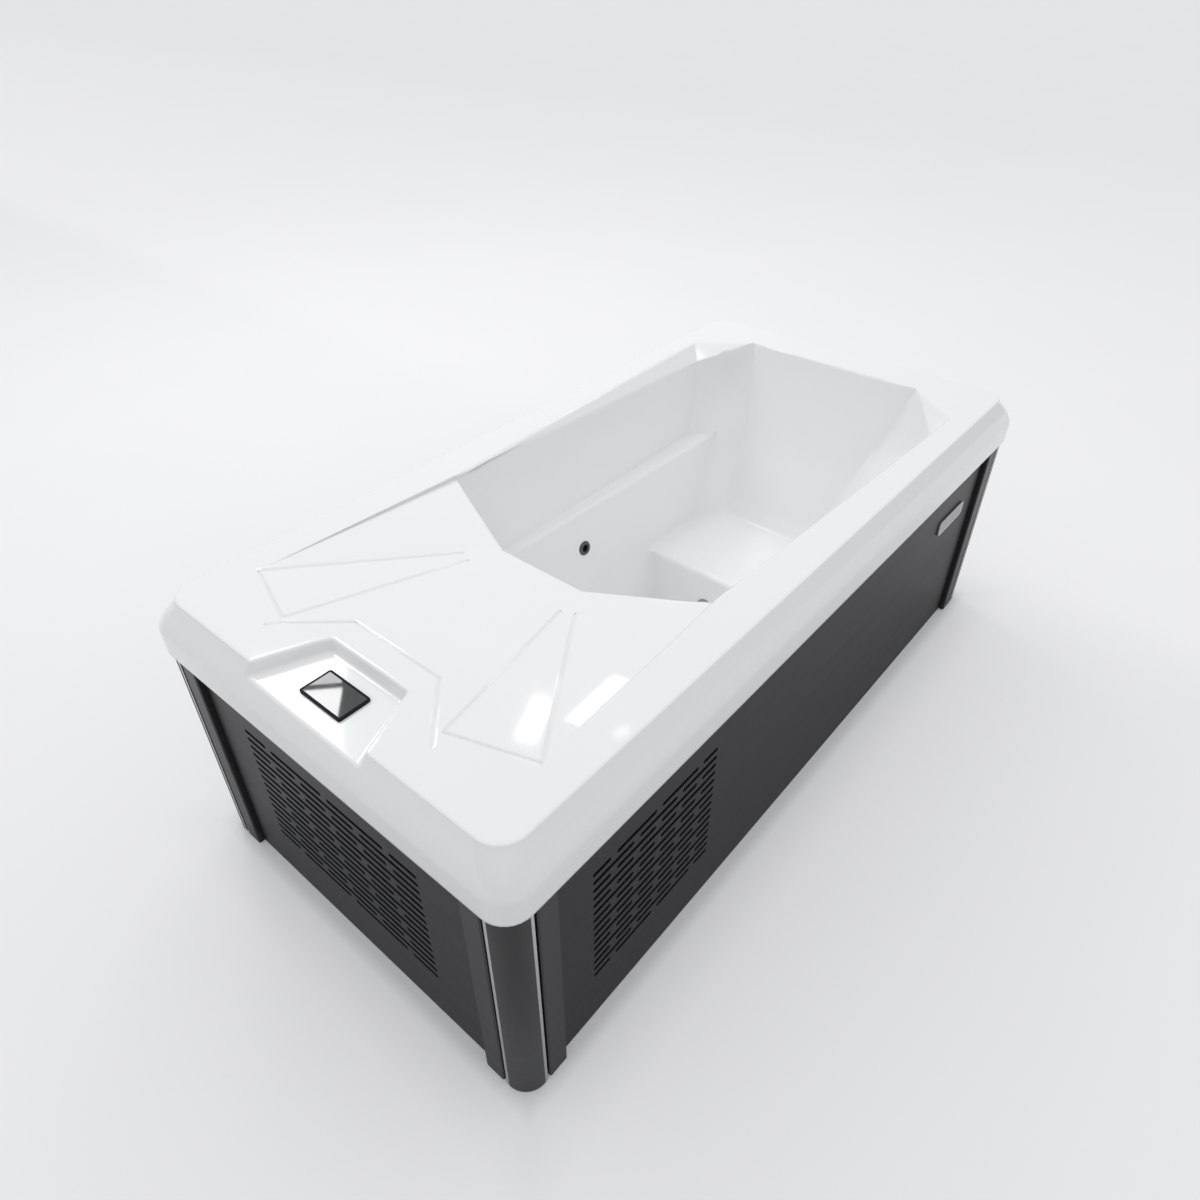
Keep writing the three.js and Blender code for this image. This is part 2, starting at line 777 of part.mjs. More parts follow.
function basePan() {
  const notch = postFace + postSize + fit;
  const edge = postFace + fit;
  const outline = corners.map((corner) => {
    const steps = atCorner(corner, [[edge, notch], [notch, notch], [notch, edge]]);
    return corner.x === corner.y ? steps : steps.reverse();
  });
  const order = [outline[0], outline[2], outline[3], outline[1]].flat();
  const pan = prism(order, 0, panHeight);
  const pocketX = skirtX - notch - panFloor;
  const pocketY = skirtY - notch - panFloor;
  const rimX = skirtX - edge - panFloor;
  const rimY = skirtY - edge - panFloor;
  const longPocket = box([-rimX, -pocketY, panFloor], [rimX, pocketY, panHeight + overcut]);
  const widePocket = box([-pocketX, -rimY, panFloor], [pocketX, rimY, panHeight + overcut]);
  return cut(pan, longPocket, widePocket);
}

piece('base_pan', basePan(), blackPlastic);

const railBottom = skirtTop + fit;
const railTop = deckUnderside - fit;
const railOuterY = topHalfWidth - railInset;
const railOuterX = topHalfLength - railInset;
const railInnerY = railOuterY - railWidth;
for (const [name, side] of [['front', -1], ['rear', 1]]) {
  const outline = [
    [-railOuterX, railInnerY],
    [railOuterX, railInnerY],
    [railOuterX, railOuterY - railChamfer],
    [railOuterX - railChamfer, railOuterY],
    [-railOuterX + railChamfer, railOuterY],
    [-railOuterX, railOuterY - railChamfer],
  ];
  const plan = outline.map(([x, y]) => new THREE.Vector2(x, side * y));
  piece(`top_rail_${name}`, prism(plan, railBottom, railTop), steel);
}
const seatRailLow = [railOuterX - railWidth, -railInnerY + fit, railBottom];
piece('top_rail_seat_end', box(seatRailLow, [railOuterX, railInnerY - fit, railTop]), steel);
const controlRailTop = recessFloor - shellWall - fit;
const controlRailX = -skirtX + postFace + fit;
const controlRailY = skirtY - postFace - postSize - fit;
const controlRailBottom = controlRailTop - (railTop - railBottom);
const controlRailLow = [controlRailX, -controlRailY, controlRailBottom];
const controlRailHigh = [controlRailX + controlRailDepth, controlRailY, controlRailTop];
piece('top_rail_control_end', box(controlRailLow, controlRailHigh), steel);

const footMiddle = (footBottom[0].x + footBottom[2].x) / 2;
const footSupportTop = floorHeight - shellWall - fit;
const footLow = [footMiddle - footwellSupportLength / 2, -supportHalf, panTop];
const footHigh = [footMiddle + footwellSupportLength / 2, supportHalf, footSupportTop];
piece('footwell_support', box(footLow, footHigh), foam);
const seatSupportTop = seatHeight - shellWall - fit;
const seatSupportX = seatBackX - seatSupportLength - coveDepth;
const seatLow = [seatSupportX, -seatBackHalf + coveDepth, panTop];
const seatHigh = [seatSupportX + seatSupportLength, seatBackHalf - coveDepth, seatSupportTop];
piece('seat_support', box(seatLow, seatHigh), foam);

// Touch panel in the recess

const touch = new THREE.Group();
touch.position.set(touchX, 0, recessFloor);
tub.add(touch);

function touchHousing() {
  const halfX = touchLength / 2;
  const halfY = touchWidth / 2;
  const top = fit + touchThickness;
  const flange = prism(roundedOutline(halfX, halfY, touchBezel), fit, top);
  const body = box(
    [-halfX + 2 * touchBezel, -halfY + 2 * touchBezel, -touchBodyDepth],
    [halfX - 2 * touchBezel, halfY - 2 * touchBezel, top - touchGlass - fit],
  );
  const pocketX = halfX - touchBezel + fit;
  const pocketY = halfY - touchBezel + fit;
  const pocket = box([-pocketX, -pocketY, top - touchGlass - fit], [pocketX, pocketY, top + overcut]);
  return cut(join(flange, body), pocket);
}

piece('touch_housing', touchHousing(), blackPlastic, touch);
const glassHalfX = touchLength / 2 - touchBezel;
const glassHalfY = touchWidth / 2 - touchBezel;
const glassTop = fit + touchThickness;
const glassSlab = box([-glassHalfX, -glassHalfY, glassTop - touchGlass], [glassHalfX, glassHalfY, glassTop]);
piece('touch_glass', glassSlab, blackGlass, touch);

// Return jet with its swivelling nozzle, and the suction fitting in the riser

function wallGroup(point, axis) {
  const group = new THREE.Group();
  group.position.copy(point);
  group.quaternion.setFromUnitVectors(new THREE.Vector3(0, 0, 1), axis);
  tub.add(group);
  return group;
}

const jet = wallGroup(jetPoint, jetAxis);
const jetFront = fit + flangeThickness;
const jetBody = [
  [jetBore, -jetLength],
  [jetStem, -jetLength],
  [jetStem, fit],
  [jetFlange, fit],
  [jetFlange - 1.5, jetFront - 1],
  [jetBore + 3, jetFront],
  [jetBore, jetFront],
  [jetBore, -jetLength],
];
piece('return_jet_body', revolve(jetBody, 24), greyPlastic, jet);
const nutBottom = -shellWall - 12;
const nutHole = drum(jetStem + fit, nutBottom - overcut, 0, 24);
const nutBlank = drum(jetFlange, nutBottom, -shellWall - fit, 6);
piece('return_jet_nut', cut(nutBlank, nutHole), greyPlastic, jet);

function jetNozzle() {
  const hole = jetBall * 0.45;
  const edge = Math.acos(hole / jetBall);
  const arc = [-1, -0.5, 0, 0.5, 1].map((share) => {
    const angle = share * edge;
    return [jetBall * Math.cos(angle), jetBall * Math.sin(angle)];
  });
  return revolve([...arc, arc[0]], 20);
}

const nozzle = piece('return_jet_nozzle', jetNozzle(), blackPlastic, jet);
nozzle.position.z = jetFront - jetBall;

const suction = wallGroup(suctionPoint, suctionAxis);
const suctionFront = fit + flangeThickness;
const suctionBody = [
  [suctionBore, -suctionLength],
  [suctionStem, -suctionLength],
  [suctionStem, fit],
  [suctionFlange, fit],
  [suctionFlange - 1.5, suctionFront - 1],
  [suctionBore + 3, suctionFront],
  [suctionBore, suctionFront],
  [suctionBore, -suctionLength],
];
piece('suction_body', revolve(suctionBody, 24), greyPlastic, suction);

function suctionCover() {
  const radius = suctionBore - 2 * fit;
  const slots = [-1, 0, 1].map((place) => {
    const middle = place * radius * 0.5;
    const half = radius * (0.8 - 0.2 * Math.abs(place));
    return box([-half, middle - 2, -3 * flangeThickness], [half, middle + 2, 3 * flangeThickness]);
  });
  return cut(drum(radius, -flangeThickness, suctionFront - 1.5, 24), ...slots);
}

piece('suction_cover', suctionCover(), blackPlastic, suction);

// Condenser coil and fan behind the control end vent

const coilX = -skirtX + panelBack + coilGap;
const coilBack = coilX + coilDepth;
const finCount = Math.floor((2 * coilHalf - finThickness) / finPitch);
const coilEdge = (finCount * finPitch + finThickness) / 2;

function condenserCoil() {
  const outline = [[coilBack, -coilEdge], [coilBack, coilEdge]];
  for (let fin = finCount; fin >= 0; fin -= 1) {
    const low = fin * finPitch - coilEdge;
    const high = low + finThickness;
    outline.push([coilBack - coilSpine, high], [coilX, high], [coilX, low], [coilBack - coilSpine, low]);
  }
  const tidy = outline.filter(([x, y], k) => k === 0 || x !== outline[k - 1][0] || y !== outline[k - 1][1]);
  return prism(tidy.map(([x, y]) => new THREE.Vector2(x, y)), panTop, coilTop);
}

piece('condenser_coil', condenserCoil(), satinAluminium);

const shroudX = coilBack + fit;
const shroudHole = fanRadius + fanTip;

function fanShroud() {
  const circle = new THREE.Path().absarc(0, fanHeight, shroudHole, 0, 2 * Math.PI).getPoints(10);
  const plate = [[-coilEdge, panTop], [coilEdge, panTop], [coilEdge, coilTop], [-coilEdge, coilTop]];
  const face = prism(plate.map(([s, z]) => new THREE.Vector2(s, z)), 0, shroudThickness, [circle.slice(0, -1)]);
  const collar = ring(shroudHole, shroudHole + shroudThickness, 0, shroudRing, 20);
  return join(face, collar.translate(0, fanHeight, 0));
}

const shroud = piece('fan_shroud', fanShroud(), blackPaint);
shroud.rotation.set(Math.PI / 2, Math.PI / 2, 0);
shroud.position.x = shroudX;

const rotorX = shroudX + shroudThickness + hubLength / 2;

function fanRotor() {
  const hub = ring(shaftRadius + fit, hubRadius, -hubLength / 2, hubLength / 2);
  const blades = [];
  for (let k = 0; k < bladeCount; k += 1) {
    const outline = new THREE.Shape();
    outline.moveTo(hubRadius - 6, -14);
    outline.quadraticCurveTo(fanRadius * 0.6, -34, fanRadius * 0.97, -30);
    outline.lineTo(fanRadius * 0.94, 34);
    outline.quadraticCurveTo(fanRadius * 0.6, 30, hubRadius - 6, 14);
    const blade = new THREE.ExtrudeGeometry(outline, { depth: 2.5, bevelEnabled: false, curveSegments: 3 });
    blade.translate(0, 0, -1.25).rotateX(THREE.MathUtils.degToRad(22));
    blades.push(blade.rotateZ((k * 2 * Math.PI) / bladeCount));
  }
  return join(hub, ...blades);
}

const rotor = piece('fan_rotor', fanRotor(), blackPlastic);
rotor.rotation.y = Math.PI / 2;
rotor.position.set(rotorX, 0, fanHeight);

const motorX = rotorX + hubLength;

function fanMotor() {
  const shaftStart = rotorX - hubLength / 2 - motorX;
  const profile = [
    [0, shaftStart],
    [shaftRadius, shaftStart],
    [shaftRadius, 0],
    [fanMotorRadius - 6, 0],
    [fanMotorRadius, 6],
    [fanMotorRadius, fanMotorLength],
    [0, fanMotorLength],
  ];
  const body = revolve(profile).rotateY(Math.PI / 2).translate(motorX, 0, fanHeight);
  const half = fanMotorRadius * 0.7;
  const stand = box([motorX + 12, -half, panTop], [motorX + fanMotorLength - 8, half, fanHeight]);
  const foot = box([motorX, -coilHalf / 2, panTop], [motorX + fanMotorLength, coilHalf / 2, panTop + 6]);
  return join(body, stand, foot);
}

piece('fan_motor', fanMotor(), blackPaint);

// Compressor, control box, heat exchanger, filter and pump

const compressorX = -topHalfLength + compressorFromEnd;
const wetBayX = deckEdgeX - wetBayFromDeckEdge;
const jetTail = jetPoint.clone().addScaledVector(jetAxis, -jetLength - fit);
const jetElbow = jetTail.clone().addScaledVector(jetAxis, -3 * returnPipe);
const exchangerY = jetElbow.y;

function compressor() {
  const can = [
    [0, panTop + 6],
    [compressorRadius - 12, panTop + 6],
    [compressorRadius, panTop + 24],
    [compressorRadius, compressorTop - 50],
    [compressorRadius * 0.75, compressorTop - 14],
    [0, compressorTop],
  ];
  const half = compressorRadius * 0.95;
  const plate = box([-half, -half, panTop], [half, half, panTop + 8]);
  const outlet = drum(2 * copperLine, compressorTop - 30, compressorTop + nippleLength, 12);
  const inlet = along(drum(2 * copperLine, compressorRadius / 2, compressorRadius + nippleLength, 12), axisX());
  return join(revolve(can), plate, outlet, inlet.translate(0, 0, pumpAxis));
}

function axisX(sign = 1) {
  return new THREE.Vector3(sign, 0, 0);
}

function axisY(sign = 1) {
  return new THREE.Vector3(0, sign, 0);
}

piece('compressor', compressor(), blackPaint).position.set(compressorX, compressorSide, 0);

function controlBox() {
  const high = [boxLength / 2, boxDepth, boxTop];
  const shell = box([-boxLength / 2, 0, panTop], high);
  const lid = box([-boxLength / 2 - 4, -4, boxTop - 40], [boxLength / 2 + 4, boxDepth + 4, boxTop + 4]);
  return join(shell, lid);
}

const boxSide = compressorSide + compressorRadius + 2 * (nippleLength + copperLine) + 4;
piece('control_box', controlBox(), greyPlastic).position.set(compressorX - boxLength / 3, boxSide, 0);

function nipple(radius, body, axis, height) {
  return along(drum(radius, body / 2, body + nippleLength, 14), axis).translate(0, 0, height);
}

function heatExchanger() {
  const profile = [
    [0, panTop],
    [exchangerRadius, panTop],
    [exchangerRadius, panTop + 20],
    [exchangerRadius - 8, panTop + 26],
    [exchangerRadius - 8, exchangerTop - 26],
    [exchangerRadius, exchangerTop - 20],
    [exchangerRadius, exchangerTop],
    [0, exchangerTop],
  ];
  const gasOut = drum(2 * copperLine, exchangerTop - 20, exchangerTop + nippleLength, 12);
  const waterIn = nipple(waterPipe, exchangerRadius, axisY(-1), pumpAxis);
  const waterOut = nipple(returnPipe, exchangerRadius, axisX(), jetElbow.z);
  const liquidIn = nipple(2 * copperLine, exchangerRadius, axisX(-1), panTop + 2 * pumpAxis / 4);
  return join(revolve(profile), gasOut, waterIn, waterOut, liquidIn);
}

piece('heat_exchanger', heatExchanger(), steel).position.set(wetBayX, exchangerY, 0);

function filterCanister() {
  const can = [
    [0, panTop],
    [filterRadius - 10, panTop],
    [filterRadius, panTop + 12],
    [filterRadius, filterTop],
    [filterRadius - 12, filterTop],
    [filterRadius - 12, panTop + 24],
    [0, panTop + 24],
  ];
  const body = revolve(can, 24);
  const inlet = along(drum(waterPipe, filterRadius - 8, filterRadius + nippleLength, 14), axisY(-1));
  const outlet = along(drum(waterPipe, filterRadius - 8, filterRadius + nippleLength, 14), axisY());
  return join(body, inlet.translate(0, 0, filterInletZ), outlet.translate(0, 0, pumpAxis));
}

const filter = new THREE.Group();
filter.position.set(wetBayX, filterSide, 0);
tub.add(filter);
piece('filter_canister', filterCanister(), blackPlastic, filter);

function filterLid() {
  const low = filterTop + fit;
  const plug = filterRadius - 12 - 2 * fit;
  const profile = [
    [0, low - lidPlug],
    [plug, low - lidPlug],
    [plug, low],
    [filterRadius + lidLip, low],
    [filterRadius + lidLip, low + lidThickness - 1.5 * lidLip],
    [filterRadius - lidLip / 2, low + lidThickness],
    [0, low + lidThickness],
  ];
  const gripTop = low + lidThickness + gripRise;
  const grip = box([-filterRadius * 0.7, -gripHalf, low + lidLip], [filterRadius * 0.7, gripHalf, gripTop]);
  return join(revolve(profile, 24), grip);
}

piece('filter_lid', filterLid(), greyPlastic, filter);

function filterCartridge() {
  const pleats = 16;
  const outer = filterRadius - 22;
  const outline = [];
  for (let k = 0; k < 2 * pleats; k += 1) {
    const angle = (k * Math.PI) / pleats;
    const radius = k % 2 === 0 ? outer : outer - 9;
    outline.push(new THREE.Vector2(radius * Math.cos(angle), radius * Math.sin(angle)));
  }
  const bore = new THREE.Path().absarc(0, 0, 20, 0, 2 * Math.PI).getPoints(6).slice(0, -1);
  return prism(outline, panTop + 24 + fit, filterTop - lidPlug, [bore]);
}

piece('filter_cartridge', filterCartridge(), whitePipe, filter);

const pump = new THREE.Group();
pump.position.set(wetBayX, pumpSide, pumpAxis);
tub.add(pump);
const pumpFloor = panTop - pumpAxis;

function pumpWetEnd() {
  const half = pumpLength / 2;
  const volute = along(drum(pumpRadius, -half, half, 24), axisX());
  const inlet = along(drum(waterPipe + 4, 0, half + 2 * nippleLength, 14), axisX());
  const outlet = drum(waterPipe - 2, pumpRadius / 2, pumpRadius + nippleLength, 14);
  const foot = box([-half * 0.8, -pumpRadius / 2, pumpFloor], [half * 0.8, pumpRadius / 2, 0]);
  return join(volute, inlet, outlet, foot);
}

piece('pump_wet_end', pumpWetEnd(), blackPlastic, pump);

function pumpMotor() {
  const start = pumpLength / 2 + fit;
  const profile = [
    [0, start],
    [pumpMotorRadius, start],
    [pumpMotorRadius, start + pumpMotorLength - 30],
    [pumpMotorRadius - 8, start + pumpMotorLength],
    [0, start + pumpMotorLength],
  ];
  const body = along(revolve(profile, 20), axisX(-1));
  const low = -start - pumpMotorLength * 0.75;
  const high = -start - pumpMotorLength * 0.2;
  const foot = box([low, -pumpMotorRadius / 2, pumpFloor], [high, pumpMotorRadius / 2, 0]);
  return join(body, foot);
}

piece('pump_motor', pumpMotor(), steel, pump);

const valve = new THREE.Group();
const valveX = wetBayX + pumpLength / 2 + 2 * nippleLength + fit + valveLength / 2;
valve.position.set(valveX, pumpSide, pumpAxis);
tub.add(valve);
const bonnetTop = valveRadius + 20;
const handleThickness = 12;

function valveBody() {
  const barrel = along(drum(valveRadius, -valveLength / 2, valveLength / 2, 16), axisX());
  const bonnet = drum(valveRadius * 0.55, 0, bonnetTop, 14);
  const stem = drum(shaftRadius, bonnetTop - 5, bonnetTop + fit + handleThickness, 14);
  return join(barrel, bonnet, stem);
}

piece('valve_body', valveBody(), whitePipe, valve);

function valveHandle() {
  const low = bonnetTop + fit;
  const hub = drum(shaftRadius * 2.6, low, low + handleThickness, 16);
  const lever = box([0, -9, low + 3], [leverLength, 9, low + handleThickness - 2]);
  const bore = drum(shaftRadius + fit, low - overcut, low + handleThickness + overcut, 14);
  return cut(join(hub, lever), bore);
}

piece('valve_handle', valveHandle(), finish(0x9c2b26, 0.5), valve);

// Pipe runs, each starting and ending one fit away from the fitting it joins

const suctionTail = suctionPoint.clone().addScaledVector(suctionAxis, -suctionLength - fit);
const suctionElbow = suctionTail.clone().addScaledVector(suctionAxis, -2.5 * waterPipe);
const suctionRun = [
  [valveX + valveLength / 2 + fit, pumpSide, pumpAxis],
  [suctionElbow.x, pumpSide, pumpAxis],
  suctionElbow.toArray(),
  suctionTail.toArray(),
];
piece('suction_pipe', pipe(suctionRun, waterPipe, 2 * waterPipe), whitePipe);

const pumpOutletZ = pumpAxis + pumpRadius + nippleLength + fit;
const filterInletY = filterSide - filterRadius - nippleLength - fit;
const pumpRun = [
  [wetBayX, pumpSide, pumpOutletZ],
  [wetBayX, pumpSide, filterInletZ],
  [wetBayX, filterInletY, filterInletZ],
];
piece('pump_pipe', pipe(pumpRun, waterPipe - 2, 1.8 * waterPipe), whitePipe);

const filterOutletY = filterSide + filterRadius + nippleLength + fit;
const exchangerInletY = exchangerY - exchangerRadius - nippleLength - fit;
const filterRun = along(drum(waterPipe, 0, exchangerInletY - filterOutletY, 14), axisY());
piece('filter_pipe', filterRun.translate(wetBayX, filterOutletY, pumpAxis), whitePipe);

const exchangerOutletX = wetBayX + exchangerRadius + nippleLength + fit;
const returnRun = [
  [exchangerOutletX, exchangerY, jetElbow.z],
  [jetElbow.x, exchangerY, jetElbow.z],
  jetTail.toArray(),
];
piece('return_pipe', pipe(returnRun, returnPipe, 2.5 * returnPipe), whitePipe);

const coilMiddle = coilBack - coilSpine / 2;
const gasTop = coilTop + 8 * copperLine;
const hotGasRun = [
  [compressorX, compressorSide, compressorTop + nippleLength + fit],
  [compressorX, compressorSide, gasTop],
  [coilMiddle, coilHalf * 0.8, gasTop],
  [coilMiddle, coilHalf * 0.8, coilTop + fit],
];
piece('hot_gas_line', pipe(hotGasRun, copperLine, 4 * copperLine), copper);

const liquidZ = panTop + 2 * pumpAxis / 4;
const liquidRun = [
  [coilMiddle, coilEdge + fit, liquidZ],
  [coilMiddle, exchangerY, liquidZ],
  [wetBayX - exchangerRadius - nippleLength - fit, exchangerY, liquidZ],
];
piece('liquid_line', pipe(liquidRun, copperLine, 4 * copperLine), copper);

const vapourX = compressorX + compressorRadius + nippleLength + fit;
const vapourRun = [
  [wetBayX, exchangerY, exchangerTop + nippleLength + fit],
  [wetBayX, exchangerY, exchangerTop + 10 * copperLine],
  [wetBayX - 8 * copperLine, compressorSide, exchangerTop + 10 * copperLine],
  [wetBayX - 8 * copperLine, compressorSide, pumpAxis],
  [vapourX, compressorSide, pumpAxis],
];
piece('vapour_line', pipe(vapourRun, copperLine, 4 * copperLine), copper);

export default tub;
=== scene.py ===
# %% [markdown]
# # A cold plunge tub, dressed in Blender
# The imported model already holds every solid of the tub, each with its place in its mesh.
# This lesson adds what plain solids lack: soft mouldings, real finishes, a camera and light.
# Everything is in metres. +X points to the seat end, -Y to the front, +Z up.

# %% Load the solids
import math

import bmesh
import bpy
from mathutils import Matrix, Vector
from mathutils.bvhtree import BVHTree


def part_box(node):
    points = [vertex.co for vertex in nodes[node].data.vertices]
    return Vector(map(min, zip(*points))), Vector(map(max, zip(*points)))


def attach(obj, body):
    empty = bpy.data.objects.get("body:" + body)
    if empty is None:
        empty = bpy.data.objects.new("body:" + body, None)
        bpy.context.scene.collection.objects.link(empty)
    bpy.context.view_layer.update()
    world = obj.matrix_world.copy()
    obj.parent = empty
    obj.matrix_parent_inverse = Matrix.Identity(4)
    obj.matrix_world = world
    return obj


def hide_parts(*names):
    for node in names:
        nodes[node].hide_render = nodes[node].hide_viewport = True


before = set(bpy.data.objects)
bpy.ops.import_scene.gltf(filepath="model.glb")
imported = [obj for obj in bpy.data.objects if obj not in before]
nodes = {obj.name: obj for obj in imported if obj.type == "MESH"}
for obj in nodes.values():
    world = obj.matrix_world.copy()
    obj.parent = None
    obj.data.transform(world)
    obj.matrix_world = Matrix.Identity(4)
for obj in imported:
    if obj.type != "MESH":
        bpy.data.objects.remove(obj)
scene = bpy.context.scene
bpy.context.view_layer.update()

# %% [markdown]
# ## Camera
# The photograph looks down over the near corner of the control end through a wide lens.
# A camera could be aimed by eye, but then nothing lines up exactly. Here its place and its three
# axes were solved from the rim and skirt edges, so they are simply written down.

# %% Camera
eye = Vector((-1.516535, -1.099114, 1.823732))
camera_right = Vector((0.649539, -0.760286, -0.007992))
camera_up = Vector((0.466940, 0.390583, 0.793355))
camera_back = Vector((-0.600055, -0.519047, 0.608707))

lens = bpy.data.cameras.new("photo_camera")
lens.sensor_width = 36.0
lens.lens = 25.8105
lens.shift_x = 0.006928
lens.shift_y = -0.009808
lens.clip_end = 200.0
camera = bpy.data.objects.new("photo_camera", lens)
scene.collection.objects.link(camera)
camera.matrix_world = Matrix.Translation(eye) @ Matrix(
    (camera_right, camera_up, camera_back)
).transposed().to_4x4()
scene.camera = camera
scene.view_settings.view_transform = "Standard"
print("camera", round(lens.lens, 1), "mm at", [round(c, 2) for c in eye])

# %% [markdown]
# ## Shader wires
# A procedural finish is a small sum over a surface: this much grain, that much gloss.
# Node by node that is hard to read, so one class wraps a socket and lets Python's + - * add the
# Math nodes. A second class holds a tree of nodes and has the one method that makes any other
# node. A third adds what the tub's finishes share: noise, blends, ramps and relief.

# %% Shader wires
def connect(tree, slot, value):
    """Links a wire to a socket, or sets the socket to a number or a colour."""
    if isinstance(value, Wire):
        tree.links.new(value.socket, slot)
    elif slot.type == "RGBA":
        slot.default_value = (*value, 1.0)
    else:
        slot.default_value = value


class Wire:
    """The output of a node, with the operators of a number."""

    def __init__(self, tree, socket):
        self.tree = tree
        self.socket = socket

    def math(self, operation, left, right):
        made = self.tree.nodes.new("ShaderNodeMath")
        made.operation = operation
        connect(self.tree, made.inputs[0], left)
        connect(self.tree, made.inputs[1], right)
        return Wire(self.tree, made.outputs[0])

    def __add__(self, other):
        return self.math("ADD", self, other)

    def __radd__(self, other):
        return self.math("ADD", other, self)

    def __sub__(self, other):
        return self.math("SUBTRACT", self, other)

    def __rsub__(self, other):
        return self.math("SUBTRACT", other, self)

    def __mul__(self, other):
        return self.math("MULTIPLY", self, other)

    def __rmul__(self, other):
        return self.math("MULTIPLY", other, self)

    def larger(self, other):
        return self.math("MAXIMUM", self, other)

    def above(self, limit):
        return self.math("GREATER_THAN", self, limit)


print("shader wires ready")

# %% Recipes and finishes
class Recipe:
    """A tree of nodes, with the one method that makes a node."""

    def __init__(self, tree):
        self.tree = tree

    def node(self, kind, sockets=None, output=0, **settings):
        """Makes a node, sets it up, fills or links its sockets and returns one output."""
        made = self.tree.nodes.new(kind)
        for name, value in settings.items():
            setattr(made, name, value)
        for name, value in (sockets or {}).items():
            connect(self.tree, made.inputs[name], value)
        return Wire(self.tree, made.outputs[output])


class Finish(Recipe):
    """A material under a plain name, read in Object coordinates."""

    def __init__(self, name):
        self.material = bpy.data.materials.new(name)
        self.material.use_nodes = True
        super().__init__(self.material.node_tree)
        self.shader = self.tree.nodes["Principled BSDF"]
        self.place = self.node("ShaderNodeTexCoord", output="Object")

    def noise(self, size, stretch=(1.0, 1.0, 1.0), detail=2.0):
        """Cloudy noise in lumps of about this size, drawn out along an axis scaled below 1."""
        scaled = self.node("ShaderNodeMapping", {"Vector": self.place, "Scale": stretch})
        sockets = {"Vector": scaled, "Scale": 1.0 / size, "Detail": detail}
        return self.node("ShaderNodeTexNoise", sockets, "Fac")

    def blend(self, share, first, second):
        """A colour between two, by a share from 0 to 1. Sockets 6 and 7 of Mix are its colours."""
        return self.node("ShaderNodeMix", {0: share, 6: first, 7: second}, 2, data_type="RGBA")

    def ramp(self, value, start, end):
        """A share that climbs from 0 to 1 between two values."""
        sockets = {"Value": value, "From Min": start, "From Max": end}
        return self.node("ShaderNodeMapRange", sockets)

    def away(self):
        """How far a point is from the middle of the tub, along X and along Y."""
        flat = self.node("ShaderNodeVectorMath", {0: self.place}, operation="ABSOLUTE")
        return [self.node("ShaderNodeSeparateXYZ", {0: flat}, axis) for axis in "XY"]

    def relief(self, height, depth, strength, normal=None):
        """A normal that follows a height of this depth."""
        sockets = {"Height": height, "Distance": depth, "Strength": strength}
        if normal:
            sockets["Normal"] = normal
        return self.node("ShaderNodeBump", sockets)

    def surface(self, **sockets):
        """Sets the sockets of the surface shader, whose names are these words in capitals."""
        for name, value in sockets.items():
            label = name.replace("_", " ").title().replace("Ior", "IOR")
            connect(self.tree, self.shader.inputs[label], value)
        return self.material


print("recipes and finishes ready")

# %% [markdown]
# ## Floor
# The tub stands on a white floor that runs out of sight. A floor could be one flat colour, but a
# real one has a faint mottle, so its grey drifts a little. Light alone would leave it too grey, so
# a share of it glows, only where the camera, glass or gloss looks at it. That glow is cut close to
# the skirt as a painted contact shadow, raised just past the seat end as painted light, and
# lowered far beyond. In gloss it starts only some way out from the skirt, a painted shade there.

# %% Floor
def only(piece):
    """Makes one object the selected and active one."""
    bpy.ops.object.select_all(action="DESELECT")
    piece.select_set(True)
    bpy.context.view_layer.objects.active = piece


floor_radius = 70.0
bpy.ops.object.select_all(action="DESELECT")
bpy.ops.mesh.primitive_circle_add(vertices=96, radius=floor_radius, fill_type="NGON")
floor = bpy.context.active_object
floor.name = "studio_floor"
studio = Finish("studio_floor")
mottle = studio.noise(0.8)
studio.surface(
    base_color=studio.blend(mottle, (0.72, 0.72, 0.73), (0.76, 0.76, 0.77)),
    roughness=0.55 + 0.1 * mottle,
)
floor.data.materials.append(studio.material)
print("floor", floor.dimensions.x, "metres across")

# %% Floor: a glow that fades towards the skirt, as a painted contact shadow
skirt_x, skirt_y = 1.059, 0.526
away_x, away_y = studio.away()
gap = (away_x - skirt_x).larger(away_y - skirt_y)
seatward = studio.node("ShaderNodeSeparateXYZ", {0: studio.place}, "X")
# Painted contact shadow near the skirt, and painted light just past the seat end.
glow_with_painted_shadow = (
    0.12
    + 0.18 * studio.ramp(gap, 0.0, 0.03)
    + 0.14 * studio.ramp(gap, 0.0, 0.14)
    + 0.10 * studio.ramp(seatward, 1.0, 1.3)
    - 0.14 * studio.ramp(seatward, 2.0, 9.0)
)
camera_ray, glass_ray, gloss_ray = (
    studio.node("ShaderNodeLightPath", output=f"Is {kind} Ray")
    for kind in ("Camera", "Transmission", "Glossy")
)
glow = studio.node("ShaderNodeEmission", {"Color": (0.99, 0.99, 1.0), "Strength": 1.0})
matt = Wire(studio.tree, studio.shader.outputs[0])
# Painted shade in gloss: no glow is mirrored within 20 cm of the skirt.
mirrored_glow_with_painted_shade = 0.9 * studio.ramp(gap, 0.2, 0.7)
glowing = (camera_ray + glass_ray) * glow_with_painted_shadow + gloss_ray * mirrored_glow_with_painted_shade
seen = studio.node("ShaderNodeMixShader", {0: glowing, 1: matt, 2: glow})
connect(studio.tree, studio.tree.nodes["Material Output"].inputs["Surface"], seen)
print("floor glows by", len(studio.tree.nodes), "nodes")

# %% [markdown]
# ## Sky and soft boxes
# An even pale sky fills the shadows, and soft boxes near the ceiling give them a direction. A sky
# of one brightness would make every wall of the basin alike, so it is brighter overhead and a touch
# brighter towards the seat end and the back.

